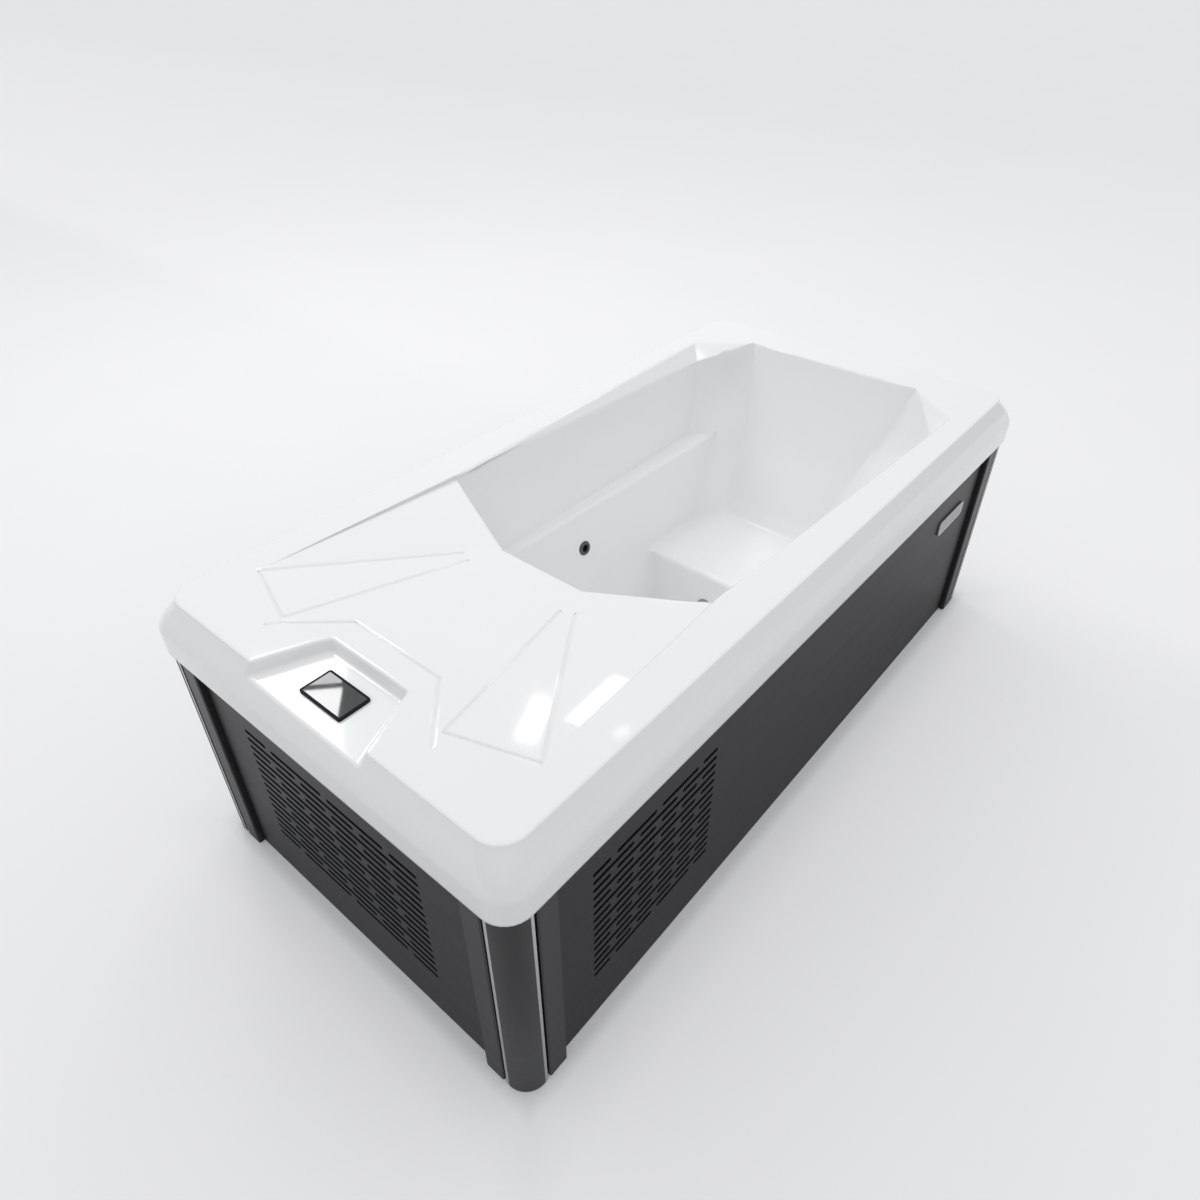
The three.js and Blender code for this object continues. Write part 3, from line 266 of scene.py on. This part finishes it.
# %% Sky
studio_sky = bpy.data.worlds.new("studio_sky")
scene.world = studio_sky
studio_sky.use_nodes = True
sky = Recipe(studio_sky.node_tree)
direction = sky.node("ShaderNodeTexCoord", output="Generated")
east, north, height = (
    sky.node("ShaderNodeSeparateXYZ", {0: direction}, axis) for axis in "XYZ"
)
sky_light = sky.tree.nodes["Background"]
sky_brightness = 0.42 + 0.66 * height + 0.07 * east + 0.05 * north
connect(sky.tree, sky_light.inputs["Color"], (0.97, 0.985, 1.0))
connect(sky.tree, sky_light.inputs["Strength"], sky_brightness)
print("sky of", len(sky.tree.nodes), "nodes")

# %% Soft boxes
def lamp(name, middle, turn, length, width, brightness, mirrored=False):
    """A rectangular lamp facing down, its long side turned from X by some degrees.

    It either lights the studio or is only seen mirrored in gloss.
    """
    panel = bpy.data.lights.new(name, "AREA")
    panel.shape = "RECTANGLE"
    panel.size = length
    panel.size_y = width
    panel.energy = brightness * math.pi * length * width
    box = bpy.data.objects.new(name, panel)
    scene.collection.objects.link(box)
    box.location = middle
    box.rotation_euler.z = math.radians(turn)
    box.visible_camera = False
    box.visible_diffuse = not mirrored
    box.visible_glossy = mirrored


ceiling = 3.6
box_brightness = 9.0
lamp("soft_box_near", (-0.007, 2.800, ceiling), 46.7, 0.80, 0.70, box_brightness)
lamp("soft_box_far", (0.560, 3.400, ceiling), 46.7, 0.64, 0.70, box_brightness)
lamp("soft_box_strip", (1.955, 2.100, ceiling), 61.2, 2.05, 0.35, box_brightness)
print(len(bpy.data.lights), "soft boxes")

# %% [markdown]
# ## Cards in the gloss
# Wet acrylic shows each lamp as a small white patch, and the photograph shows where they fall: on
# the recess and its glass, on the near facets of the deck, and along the back of the seat. From a
# patch, the camera and the facet's tilt, the mirrored ray says where a card has to hang. The cards
# are only seen in gloss, so the even light stays as it is.

# %% Cards in the gloss
lamp("card_recess_near", (-0.007, 2.800, 3.58), 46.7, 0.80, 0.70, 15.0, mirrored=True)
lamp("card_recess_far", (-0.453, 1.259, 1.8), 46.7, 0.121, 0.319, 8.0, mirrored=True)
lamp("card_near_facet", (-0.026, 0.362, 1.5), 27.9, 0.24, 0.075, 7.0, mirrored=True)
lamp("card_lane", (-0.507, -0.187, 0.9), 4.9, 0.177, 0.045, 6.0, mirrored=True)
lamp("card_rim", (-0.157, -0.034, 1.5), -33.3, 0.05, 0.025, 6.0, mirrored=True)
lamp("card_seat", (0.72, 0.47, 1.3), -14.0, 0.40, 0.12, 3.0, mirrored=True)
print(sum(light.name.startswith("card") for light in bpy.data.lights), "cards")

# %% [markdown]
# ## White acrylic
# The shell is vacuum-formed acrylic: bright, a touch cool, with a wet gloss and a barely visible
# ripple. A plain white would look like paint, so the gloss drifts a little and a fine ripple bends
# the reflections. A Bevel node rounds the small creases that are too fine to model. Where its
# normal strays far from the face's own, as in a narrow groove, the face's own is kept.

# %% White acrylic
crease_radius = 0.008
astray, agreed = 0.45, 0.62

acrylic = Finish("white_acrylic")
haze = acrylic.noise(0.35)
ripple = acrylic.noise(0.06, detail=1.0)
soft_crease = acrylic.node("ShaderNodeBevel", {"Radius": crease_radius}, samples=8)
own_normal = acrylic.node("ShaderNodeNewGeometry", output="Normal")
agreement = acrylic.node(
    "ShaderNodeVectorMath", {0: soft_crease, 1: own_normal}, "Value", operation="DOT_PRODUCT"
)
trust = acrylic.ramp(agreement, astray, agreed)
rounded = acrylic.node(
    "ShaderNodeMix", {0: trust, 4: own_normal, 5: soft_crease}, 1, data_type="VECTOR"
)
acrylic.surface(
    base_color=acrylic.blend(haze, (0.882, 0.888, 0.890), (0.896, 0.900, 0.902)),
    roughness=0.06 + 0.05 * haze,
    normal=acrylic.relief(ripple, 0.0012, 0.05, rounded),
    ior=1.49,
)
print("made", acrylic.material.name)

# %% [markdown]
# ## Charcoal skirt
# The skirt is satin charcoal board, and the stiles and corner covers are given a paler charcoal
# than the panels. A flat dark grey would look like paper, so one recipe adds a fine pressed grain
# that breaks up the light, and long faint streaks that drift along the boards.

# %% Charcoal skirt
def charcoal(name, dark, pale, shine):
    """A dark satin board with a fine grain and long streaks."""
    board = Finish(name)
    grain = board.noise(0.0018, detail=3.0)
    streak = board.noise(0.03, (0.06, 0.06, 1.0))
    return board.surface(
        base_color=board.blend(streak, dark, pale),
        roughness=0.33 + 0.08 * streak + 0.06 * grain,
        specular_ior_level=shine,
        normal=board.relief(grain, 0.0004, 0.25),
    )


panel_board = charcoal("charcoal_panel", (0.006, 0.006, 0.007), (0.012, 0.012, 0.013), 0.25)
trim_board = charcoal("charcoal_trim", (0.017, 0.017, 0.018), (0.024, 0.024, 0.025), 0.35)
print("made", panel_board.name, trim_board.name)

# %% [markdown]
# ## Satin aluminium
# The corner posts and the coil's fins are drawn aluminium. Drawing leaves fine lines along the
# length, so the noise is stretched along Z until it reads as lines. Of a post, only the two edges
# that stand out past the slots keep the silver. In the slots behind it, the metal is painted near
# black and not metallic, as painted shade.

# %% Satin aluminium
def drawn(name, rough):
    """A finish with fine lines along Z, and the silver that goes with them."""
    metal = Finish(name)
    lines = metal.noise(0.0012, (1.0, 1.0, 0.01), 3.0)
    metal.surface(roughness=rough + 0.12 * lines, normal=metal.relief(lines, 0.0001, 0.3))
    return metal, metal.blend(lines, (0.50, 0.51, 0.52), (0.60, 0.61, 0.62))


aluminium, silver = drawn("satin_aluminium", 0.32)
aluminium.surface(base_color=silver, metallic=1.0)

edge_x, edge_y = 1.0545, 0.521
post, silver = drawn("post_aluminium_painted_slot_shade", 0.34)
away_x, away_y = post.away()
# Painted shade: inside the slots the post is painted near black and not metallic.
outside_painted_slot_shade = away_x.above(edge_x) + away_y.above(edge_y)
post.surface(base_color=post.blend(outside_painted_slot_shade, (0.006, 0.006, 0.007), silver), metallic=outside_painted_slot_shade)
print("made", aluminium.material.name, post.material.name)

# %% [markdown]
# ## Moulded plastics
# Several small pieces are moulded plastic with the same spark-eroded skin in different colours,
# so one recipe takes the two colours it drifts between and how rough it is.

# %% Moulded plastics
def moulded(name, dark, pale, rough, skin=0.0012, shine=0.5):
    """A moulded plastic with a fine pebbled skin."""
    plastic = Finish(name)
    pebble = plastic.noise(skin)
    drift = plastic.noise(0.12)
    return plastic.surface(
        base_color=plastic.blend(drift, dark, pale),
        roughness=rough + 0.1 * pebble,
        specular_ior_level=shine,
        normal=plastic.relief(pebble, 0.0002, 0.25),
    )


black_plastic = moulded("black_plastic", (0.010, 0.010, 0.011), (0.016, 0.016, 0.017), 0.38)
grey_plastic = moulded("grey_plastic", (0.13, 0.14, 0.15), (0.17, 0.18, 0.19), 0.42)
white_pipe = moulded("white_pipe", (0.72, 0.72, 0.69), (0.79, 0.79, 0.76), 0.30, 0.004)
red_lever = moulded("red_lever", (0.30, 0.020, 0.016), (0.36, 0.028, 0.022), 0.35)
black_paint = moulded("black_paint", (0.011, 0.012, 0.013), (0.018, 0.019, 0.020), 0.28, 0.003)
bezel_plastic = moulded(
    "bezel_plastic", (0.004, 0.004, 0.005), (0.007, 0.007, 0.008), 0.5, shine=0.12
)
jet_ring = moulded("jet_ring", (0.060, 0.062, 0.065), (0.085, 0.087, 0.090), 0.4)
suction_ring = moulded("suction_ring", (0.28, 0.285, 0.29), (0.36, 0.365, 0.37), 0.4)
support_foam = moulded("support_foam", (0.62, 0.52, 0.33), (0.74, 0.63, 0.42), 0.75, 0.006)
print("made nine moulded finishes")

# %% [markdown]
# ## Glass and bare metals
# The touch panel is black glass, so nearly all that is seen of it is reflection: it stays almost
# mirror smooth, with the faint smears that fingers leave. A bare metal could be one colour, but
# copper and steel dull in patches, so both get the drift of tarnish.

# %% Glass and bare metals
glass = Finish("black_glass")
smear = glass.noise(0.02, detail=3.0)
glass.surface(
    base_color=glass.blend(smear, (0.036, 0.038, 0.041), (0.046, 0.048, 0.052)),
    roughness=0.015 + 0.03 * smear,
    ior=1.52,
)


def bare(name, clean, dull, rough, stretch=(1.0, 1.0, 1.0)):
    """A bare metal that dulls in patches."""
    metal = Finish(name)
    tarnish = metal.noise(0.05, detail=3.0)
    scratch = metal.noise(0.0015, stretch)
    return metal.surface(
        base_color=metal.blend(tarnish, clean, dull),
        metallic=1.0,
        roughness=rough + 0.15 * tarnish + 0.08 * scratch,
        normal=metal.relief(scratch, 0.0001, 0.2),
    )


copper_tube = bare("copper_tube", (0.75, 0.34, 0.17), (0.42, 0.18, 0.09), 0.22)
plain_steel = bare("plain_steel", (0.52, 0.53, 0.55), (0.40, 0.41, 0.43), 0.26, (1.0, 1.0, 0.05))
print("made", glass.material.name, copper_tube.name, plain_steel.name)

# %% [markdown]
# ## Acrylic shell
# The shell is one sheet drawn into a mould, so no corner of the real basin is sharp. It could be
# modelled again from nothing, but the solid already has every facet in place. So a copy of its
# mesh is taken. Its triangles come loose, so they are merged first, and edges that bend nothing
# are dissolved.

# %% Shell: merge the copied solid
merge_distance = 0.0013
flat_bend = 0.8

shell = bpy.data.objects.new("acrylic_shell", nodes["tub_shell"].data.copy())
scene.collection.objects.link(shell)
only(shell)
bpy.ops.object.mode_set(mode="EDIT")
bpy.ops.mesh.select_mode(type="EDGE")
bpy.ops.mesh.select_all(action="SELECT")
bpy.ops.mesh.remove_doubles(threshold=merge_distance)
bpy.ops.mesh.dissolve_limited(angle_limit=math.radians(flat_bend))
bpy.ops.mesh.select_all(action="DESELECT")
bpy.ops.object.mode_set(mode="OBJECT")
print("shell:", len(shell.data.polygons), "faces after merging")

# %% [markdown]
# ## Shoulder, slit and ledge ends
# Three small places need a hand before the shell is rounded. The far shoulder slopes a little
# wider than the solid's. A fine slit is left where the step of the deck runs into the basin. Each
# ledge ends bluntly before the backrest. By hand, one would click on those corners and drag or
# merge them. Here they are found by their place, and a mirrored Y finds them on the other side.

# %% Shell: a wider slope under the far rim
def pick(piece, kind, wanted):
    """Selects, in edit mode, only the parts of one kind that a test wants, and says how many."""
    bpy.ops.object.mode_set(mode="OBJECT")
    only(piece)
    bpy.ops.object.mode_set(mode="EDIT")
    bpy.ops.mesh.select_mode(type=kind)
    bpy.ops.mesh.select_all(action="DESELECT")
    sketch = bmesh.from_edit_mesh(piece.data)
    sketch.normal_update()
    parts = {"VERT": sketch.verts, "EDGE": sketch.edges, "FACE": sketch.faces}[kind]
    found = [part for part in parts if wanted(part)]
    for part in found:
        part.select_set(True)
    sketch.select_flush_mode()
    bmesh.update_edit_mesh(piece.data)
    return len(found)


def near(target, reach, mirror):
    """A test that wants the corners within reach of a place, seen in a mirror."""
    return lambda corner: (corner.co * mirror - target).length < reach


far_side, near_side = Vector((1.0, 1.0, 1.0)), Vector((1.0, -1.0, 1.0))
sides = (far_side, near_side)
knee = Vector((0.747, 0.400, 0.687))
eased_knee = Vector((0.733, 0.384, 0.700))
moved = pick(shell, "VERT", near(knee, 0.004, far_side))
bpy.ops.transform.translate(value=eased_knee - knee)
bpy.ops.object.mode_set(mode="OBJECT")
print("shell:", moved, "knee eased")

# %% Shell: close the slit where the deck's step meets the basin
step_ends = (Vector((-0.320, 0.391, 0.728)), Vector((-0.3105, 0.391, 0.727)))
for mirror in sides:
    for step_end in step_ends:
        found = pick(shell, "VERT", near(step_end, 0.003, mirror))
        bpy.ops.mesh.merge(type="COLLAPSE")
        print("shell:", found, "corners of a slit joined")

# %% Shell: end the ledges before the backrest
ledge_height = 0.490
ledge_end = Vector((0.715, 0.263, ledge_height))
blunt_end = Vector((0.715, 0.2725, ledge_height))
for mirror in sides:
    moved = pick(shell, "VERT", near(ledge_end, 0.015, mirror))
    bpy.ops.transform.translate(value=(blunt_end - ledge_end) * mirror)
    print("shell:", moved, "corners of a ledge end moved")

# %% [markdown]
# ## Hollow corners by the backrest
# Between each side wall and the backrest the solid has a flat. On the real tub the acrylic runs
# round this corner in one hollow. A bevel only eases the two edges of a flat, so the flat is cut
# into a grid with Bisect, and each point of the grid is pushed out, most in the middle. The back
# of the sheet gets the same push, so the wall keeps its thickness.

# %% Shell: the flats by the backrest
wall_foot, wall_head = Vector((0.641, 0.340, ledge_height)), eased_knee
rest_foot, rest_head = Vector((0.789, 0.205, ledge_height)), Vector((0.907, 0.280, 0.737))
corner_low, corner_high = (0.6, 0.15, ledge_height - 0.012), (0.95, 0.42, 0.71)


def in_corner(middle, facing, mirror):
    """Whether a face belongs to the flat of one side, on the front or the back of the sheet."""
    middle, facing = middle * mirror, facing * mirror
    front = facing.x < -0.25 and facing.y < -0.25 and facing.z < 0.7
    back = facing.x > 0.4 and facing.y > 0.4 and facing.z < -0.2
    placed = all(low < at < high for low, at, high in zip(corner_low, middle, corner_high))
    return placed and (front or back)


def cut(mirror, place, across):
    """Cuts the flats of one corner along a plane."""
    pick(shell, "FACE", lambda face: in_corner(face.calc_center_median(), face.normal, mirror))
    bpy.ops.mesh.bisect(plane_co=place * mirror, plane_no=across * mirror)


print("flats from", wall_foot[:2], "to", rest_foot[:2])

# %% Shell: how far a point of a flat is pushed
corner_out = Vector((0.66, 0.75, 0.0))
bulge = 0.024
head_margin = 0.006


def clamped(share):
    return min(max(share, 0.0), 1.0)


def pushed(place):
    """How far a point of the flat moves out, so that the corner becomes a hollow round."""
    wall = wall_foot.lerp(wall_head, (place.z - wall_foot.z) / (wall_head.z - wall_foot.z))
    rest = rest_foot.lerp(rest_head, (place.z - rest_foot.z) / (rest_head.z - rest_foot.z))
    share = clamped((place - wall).dot(rest - wall) / (rest - wall).length_squared)
    head = wall_head.z + (rest_head.z - wall_head.z) * share
    rise = clamped((place.z - ledge_height) / (head - head_margin - ledge_height))
    return bulge * 4 * share * (1 - share) * math.sin(math.pi * rise)


print("hollow up to", bulge, "deep")

# %% Shell: round the two corners by the backrest
columns, rows = 8, 7
row_height = 0.035
level_slack = 0.002
up = Vector((0.0, 0.0, 1.0))


def at_ledge(corner):
    """Whether a corner lies at the height of the ledges."""
    return abs(corner.co.z - ledge_height) < level_slack


for mirror in sides:
    for column in range(1, columns):
        foot = wall_foot.lerp(rest_foot, column / columns)
        head = wall_head.lerp(rest_head, column / columns)
        cut(mirror, foot, (head - foot).cross(corner_out))
    for row in range(1, rows):
        cut(mirror, wall_foot + row * row_height * up, up)
    bpy.ops.object.mode_set(mode="OBJECT")
    hollow = {
        corner
        for face in shell.data.polygons
        if in_corner(face.center, face.normal, mirror)
        for corner in face.vertices
    }
    for corner in hollow:
        point = shell.data.vertices[corner]
        point.co += corner_out * mirror * pushed(point.co * mirror)
    print("shell:", len(hollow), "points in a rounded corner")
pick(shell, "VERT", at_ledge)
bpy.ops.mesh.remove_doubles(threshold=level_slack)
bpy.ops.object.mode_set(mode="OBJECT")

# %% [markdown]
# ## Soft creases
# Every crease inside the basin is rounded, but not by the same amount: wide in the wall corners,
# less round the seat, and little on the slim ledges, the rim and the recess. One Bevel modifier
# does it all, because each edge carries a weight from 0 to 1. Near places where creases meet, the
# weight fades out, since wide bevels would fold over each other there.

# %% Shell: which creases are rounded
rim_depth = 0.68
recess_end = -0.88


def bend_of(crease):
    """The bend of a crease in degrees, above 0 where it stands out."""
    return math.degrees(crease.calc_face_angle_signed(0.0))


def in_basin(crease):
    """Whether a crease lies inside the mouth and is bent enough to round."""
    inside = all(-0.43 < end.co.x < 0.93 and abs(end.co.y) < 0.45 for end in crease.verts)
    return inside and abs(bend_of(crease)) > 10


def in_recess(crease):
    """Whether a crease is one of the recess round the touch panel, but not of the hole under it."""
    ends = [end.co for end in crease.verts]
    inside = all(end.x < recess_end and abs(end.y) < 0.18 and end.z > 0.705 for end in ends)
    beside_hole = any(abs(end.y) > 0.1 for end in ends)
    return inside and beside_hole and abs(bend_of(crease)) > 20


print("rim above", rim_depth, "and recess beyond", recess_end)

# %% Shell: where the creases meet
ledge_inner = ((-0.356, 0.138), (-0.236, 0.303), (0.715, 0.2725), (0.789, 0.205))
ledge_outer = ((-0.356, 0.138), (-0.236, 0.331), (0.641, 0.340), (0.789, 0.205))
ledge_corners = [Vector((x, y, ledge_height)) for x, y in ledge_inner + ledge_outer[1:3]]
rim_corners = (rest_head, wall_head, knee, step_ends[1])


def along(path, x):
    """The Y of a path in plan at this X."""
    for (x0, y0), (x1, y1) in zip(path, path[1:]):
        if x <= x1:
            return y0 + (y1 - y0) * (x - x0) / (x1 - x0)
    return path[-1][1]


def middle_of(crease):
    return (crease.verts[0].co + crease.verts[1].co) / 2


def nearest(place, corners):
    return min((place - corner).length for corner in corners)


print(len(ledge_corners), "corners on a ledge and", len(rim_corners), "under the rim")

# %% Shell: how soft each crease is
widest = 0.020
floor_width, seat_width = 0.016, 0.014
rim_width, ledge_width, recess_width = 0.007, 0.006, 0.006
fade, ledge_fade, bare_end = 0.2, 0.1, 0.03
seat_level = 0.3
hollow_start, hollow_top = 0.6, 0.72
wall_bend = 25


def softness(crease):
    """The bevel width of a crease, by its place and its bend."""
    bend = bend_of(crease)
    low, high = sorted(end.co.z for end in crease.verts)
    middle = middle_of(crease)
    middle.y = abs(middle.y)
    reach = nearest(middle, ledge_corners)
    if middle.x < recess_end:
        return recess_width
    if all(at_ledge(end) for end in crease.verts):
        path = ledge_inner if bend > 0 else ledge_outer
        if not path[1][0] < middle.x < path[2][0]:
            return 0.0
        room = along(ledge_outer, middle.x) - along(ledge_inner, middle.x)
        return min(ledge_width, ledge_fade * reach, fade * room)
    if low > ledge_height - level_slack and high < hollow_top and middle.x > hollow_start:
        return 0.0
    if low > rim_depth:
        spread = max(nearest(middle, rim_corners) - bare_end, 0.0)
        return min(rim_width, fade * spread) if bend > 0 else 0.0
    if low < seat_level and bend > 0:
        return seat_width
    if high < seat_level:
        return floor_width
    return min(widest, fade * reach) if abs(bend) > wall_bend else 0.0


print("widths from", ledge_width, "to", widest)

# %% Shell: merge slivers
lip_length, lip_height = 1.0, 0.73
sliver_length, sliver_width = 0.05, 0.0008

cast = bmesh.new()
cast.from_mesh(shell.data)
lips = [
    crease
    for crease in cast.edges
    if in_basin(crease)
    and crease.calc_length() > lip_length
    and bend_of(crease) < 0
    and max(end.co.z for end in crease.verts) > lip_height
]
bmesh.ops.dissolve_edges(cast, edges=lips)
slivers = []
for face in cast.faces:
    longest = max(face.edges, key=lambda edge: edge.calc_length())
    length = longest.calc_length()
    thin = length > sliver_length and face.calc_area() < sliver_width * length
    if thin and longest not in slivers:
        slivers.append(longest)
bmesh.ops.dissolve_edges(cast, edges=slivers)
cast.normal_update()
print("shell:", len(lips) + len(slivers), "slivers merged")

# %% Shell: split the long creases, so that their bevels can fade out
longest_whole = 0.22
long_creases = [
    crease for crease in cast.edges if in_basin(crease) and crease.calc_length() > longest_whole
]
ledges = [crease for crease in long_creases if all(at_ledge(end) for end in crease.verts)]
rims = [crease for crease in long_creases if min(end.co.z for end in crease.verts) > rim_depth]
others = [crease for crease in long_creases if crease not in ledges + rims]
for creases, cuts in ((ledges, 13), (rims, 19), (others, 5)):
    bmesh.ops.bisect_edges(cast, edges=creases, cuts=cuts)
cast.to_mesh(shell.data)
print("shell:", len(long_creases), "creases split")

# %% Shell: bevel the creases that face up into the open basin
shortest = 0.01
skin_gap = 0.001

skin = BVHTree.FromBMesh(cast)
weights = shell.data.attributes.new("bevel_weight_edge", "FLOAT", "EDGE")
softened = 0
for crease in cast.edges:
    if not in_recess(crease) and (not in_basin(crease) or crease.calc_length() < shortest):
        continue
    lift = sum((face.normal for face in crease.link_faces), Vector()).normalized() * skin_gap
    if skin.ray_cast(middle_of(crease) + lift, up)[0]:
        continue
    width = softness(crease)
    weights.data[crease.index].value = width / widest
    softened += width > 0
cast.free()

round_over = shell.modifiers.new("round_over", "BEVEL")
round_over.limit_method = "WEIGHT"
round_over.width = widest
round_over.segments = 4
round_over.use_clamp_overlap = False
bpy.ops.object.modifier_apply(modifier="round_over")
print("shell:", softened, "creases softened,", len(shell.data.polygons), "faces")

# %% [markdown]
# ## Smooth shading
# The rounded creases have to shade as one curve, while the facets of the deck stay crisp, as they
# are on the real shell. Smooth shading by angle does the first. The long edges of the deck bend
# less than that angle, so they are marked sharp, and a Weighted Normal modifier then keeps the
# wide facets flat up to their edges.

# %% Shell: smooth shading with crisp deck facets
smooth_angle = 26
shortest_fold = 0.03

bpy.ops.mesh.customdata_custom_splitnormals_clear()
bpy.ops.object.shade_smooth_by_angle(angle=math.radians(smooth_angle))
crisp = 0
for crease in shell.data.edges:
    ends = [shell.data.vertices[corner].co for corner in crease.vertices]
    on_deck = all(-1.02 < end.x < -0.3 and abs(end.y) < 0.45 and end.z > rim_depth for end in ends)
    by_recess = all(end.x < -0.87 and abs(end.y) < 0.2 for end in ends)
    if on_deck and not by_recess and (ends[0] - ends[1]).length > shortest_fold:
        crease.use_edge_sharp = True
        crisp += 1
even = shell.modifiers.new("even_normals", "WEIGHTED_NORMAL")
even.keep_sharp = True
bpy.ops.object.modifier_apply(modifier="even_normals")
print("shell:", crisp, "crisp edges on the deck")

# %% Shell: hand-over
shell.data.materials.clear()
shell.data.materials.append(acrylic.material)
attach(shell, "tub")
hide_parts("tub_shell")
print("shell is", [round(side, 3) for side in shell.dimensions], "metres")

# %% [markdown]
# ## Corner covers
# Each corner of the skirt is a thin rolled cover, a quarter of a tube. A tube could be cut in four,
# but a strip swept round the corner by Spin gives an even curve at once. It is modelled once, its
# long edges are eased, and the other three are turned copies.

# %% Corner covers: one rolled strip
def ease_edges(piece, sharper, width, smooth_below):
    """Bevels the edges that are sharper than an angle, and shades the piece smooth below one."""
    only(piece)
    ease = piece.modifiers.new("ease", "BEVEL")
    ease.limit_method = "ANGLE"
    ease.angle_limit = math.radians(sharper)
    ease.width = width
    ease.segments = 2
    bpy.ops.object.modifier_apply(modifier="ease")
    bpy.ops.object.shade_smooth_by_angle(angle=math.radians(smooth_below))


cover_low, cover_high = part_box("corner_cover_seat_rear")
cover_wall = 0.003
cover_radius = cover_high.x - cover_low.x
corner_x, corner_y, cover_foot = cover_low
cover_head = cover_high.z

bpy.ops.object.select_all(action="DESELECT")
bpy.ops.mesh.primitive_plane_add(size=1.0)
cover = bpy.context.active_object
bpy.ops.object.mode_set(mode="EDIT")
bpy.ops.transform.resize(value=(cover_wall, cover_head - cover_foot, 1.0))
bpy.ops.transform.rotate(
    value=math.radians(90), orient_axis="X", center_override=(0.0, 0.0, 0.0)
)
bpy.ops.transform.translate(
    value=(corner_x + cover_radius - cover_wall / 2, corner_y, (cover_foot + cover_head) / 2)
)
bpy.ops.mesh.spin(
    steps=24, angle=math.radians(90), center=(corner_x, corner_y, 0.0), axis=(0.0, 0.0, -1.0)
)
bpy.ops.mesh.select_all(action="SELECT")
bpy.ops.mesh.remove_doubles(threshold=0.00001)
bpy.ops.mesh.normals_make_consistent(inside=False)
bpy.ops.object.mode_set(mode="OBJECT")
ease_edges(cover, sharper=60, width=0.0008, smooth_below=30)
cover.data.materials.append(trim_board)
print("cover:", len(cover.data.polygons), "faces")

# %% Corner covers: turned copies
corners = {
    "seat_rear": (0, 0.0, 0.0),
    "control_rear": (1, -2 * corner_x, 0.0),
    "control_front": (2, -2 * corner_x, -2 * corner_y),
    "seat_front": (3, 0.0, -2 * corner_y),
}
centre = Matrix.Translation((corner_x, corner_y, 0.0))
for corner, (quarters, shift_x, shift_y) in corners.items():
    bent = cover
    if quarters:
        bent = bpy.data.objects.new("cover", cover.data.copy())
        scene.collection.objects.link(bent)
        turn = Matrix.Rotation(quarters * math.pi / 2, 4, "Z")
        move = Matrix.Translation((shift_x, shift_y, 0.0))
        bent.data.transform(move @ centre @ turn @ centre.inverted())
    bent.name = "rolled_cover_" + corner
    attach(bent, "tub")
    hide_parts("corner_cover_" + corner)
print("made", len(corners), "corner covers")

# %% [markdown]
# ## Badge plate
# A small plate of silver metal sits on the front panel near the seat end, with its field left bare.
# A flat block would do for a stamped plate, but the real one has round corners, a raised lip and a
# sunken field. So a block is rounded at its corners, its face is inset and pushed in, and the lip
# is eased.

# %% Badge plate
badge_low, badge_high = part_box("badge_plate")
badge_corner = 0.011
lip_width, lip_slope, field_sink = 0.0035, 0.0012, 0.0014


def runs_in_depth(edge):
    return abs(edge.verts[0].co.y - edge.verts[1].co.y) > 0.004


def faces_front(face):
    return face.normal.y < -0.9


bpy.ops.object.select_all(action="DESELECT")
bpy.ops.mesh.primitive_cube_add(size=1.0)
badge = bpy.context.active_object
badge.name = "bare_badge"
bpy.ops.object.mode_set(mode="EDIT")
bpy.ops.transform.resize(value=badge_high - badge_low)
bpy.ops.transform.translate(value=(badge_low + badge_high) / 2)
pick(badge, "EDGE", runs_in_depth)
bpy.ops.mesh.bevel(offset=badge_corner, segments=6, affect="EDGES")
pick(badge, "FACE", faces_front)
bpy.ops.mesh.inset(thickness=lip_width)
bpy.ops.mesh.inset(thickness=lip_slope, depth=-field_sink)
bpy.ops.object.mode_set(mode="OBJECT")
ease_edges(badge, sharper=35, width=0.0007, smooth_below=32)
print("badge:", len(badge.data.polygons), "faces")

# %% Badge finishes
sunken = Finish("badge_field")
brushed = sunken.noise(0.0006, (0.02, 1.0, 1.0), 3.0)
sunken.surface(
    base_color=sunken.blend(brushed, (0.34, 0.345, 0.35), (0.44, 0.445, 0.45)),
    metallic=1.0,
    roughness=0.38 + 0.15 * brushed,
    normal=sunken.relief(brushed, 0.0001, 0.3),
)
badge.data.materials.append(aluminium.material)
badge.data.materials.append(sunken.material)
field_depth = badge_low.y + field_sink
for face in badge.data.polygons:
    if faces_front(face) and abs(face.center.y - field_depth) < 0.0004:
        face.material_index = 1
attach(badge, "tub")
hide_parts("badge_plate")
print("badge fields:", sum(face.material_index for face in badge.data.polygons))

# %% [markdown]
# ## Finishes on the solids
# Most solids are already the right shape, so they only change finish. The imported model says which
# slot each one has, by the name of its material, so the slot's name is enough to find the finish.
# A few small pieces and the stiles look different from the rest of their slot, so they get a finish
# of their own, and the posts get theirs with painted shade in the slots.

# %% Finishes on the solids
finishes = {
    "white_acrylic": acrylic.material,
    "charcoal_panel": panel_board,
    "satin_aluminium": aluminium.material,
    "black_plastic": black_plastic,
    "black_glass": glass.material,
    "grey_plastic": grey_plastic,
    "white_pipe": white_pipe,
    "red_lever": red_lever,
    "copper_tube": copper_tube,
    "plain_steel": plain_steel,
    "black_paint": black_paint,
    "support_foam": support_foam,
}
own_finishes = {
    "touch_housing": bezel_plastic,
    "return_jet_body": jet_ring,
    "return_jet_nozzle": bezel_plastic,
    "suction_body": suction_ring,
    "suction_cover": bezel_plastic,
}
for name, solid in nodes.items():
    for slot in solid.material_slots:
        slot.material = finishes[slot.material.name.split(".")[0]]
        if "stile" in name:
            slot.material = trim_board
        # The posts take the finish with painted shade in their slots.
        if "corner_post" in name:
            slot.material = post.material
        slot.material = own_finishes.get(name, slot.material)
print("finished", len(nodes), "solids with", len(finishes), "finishes")
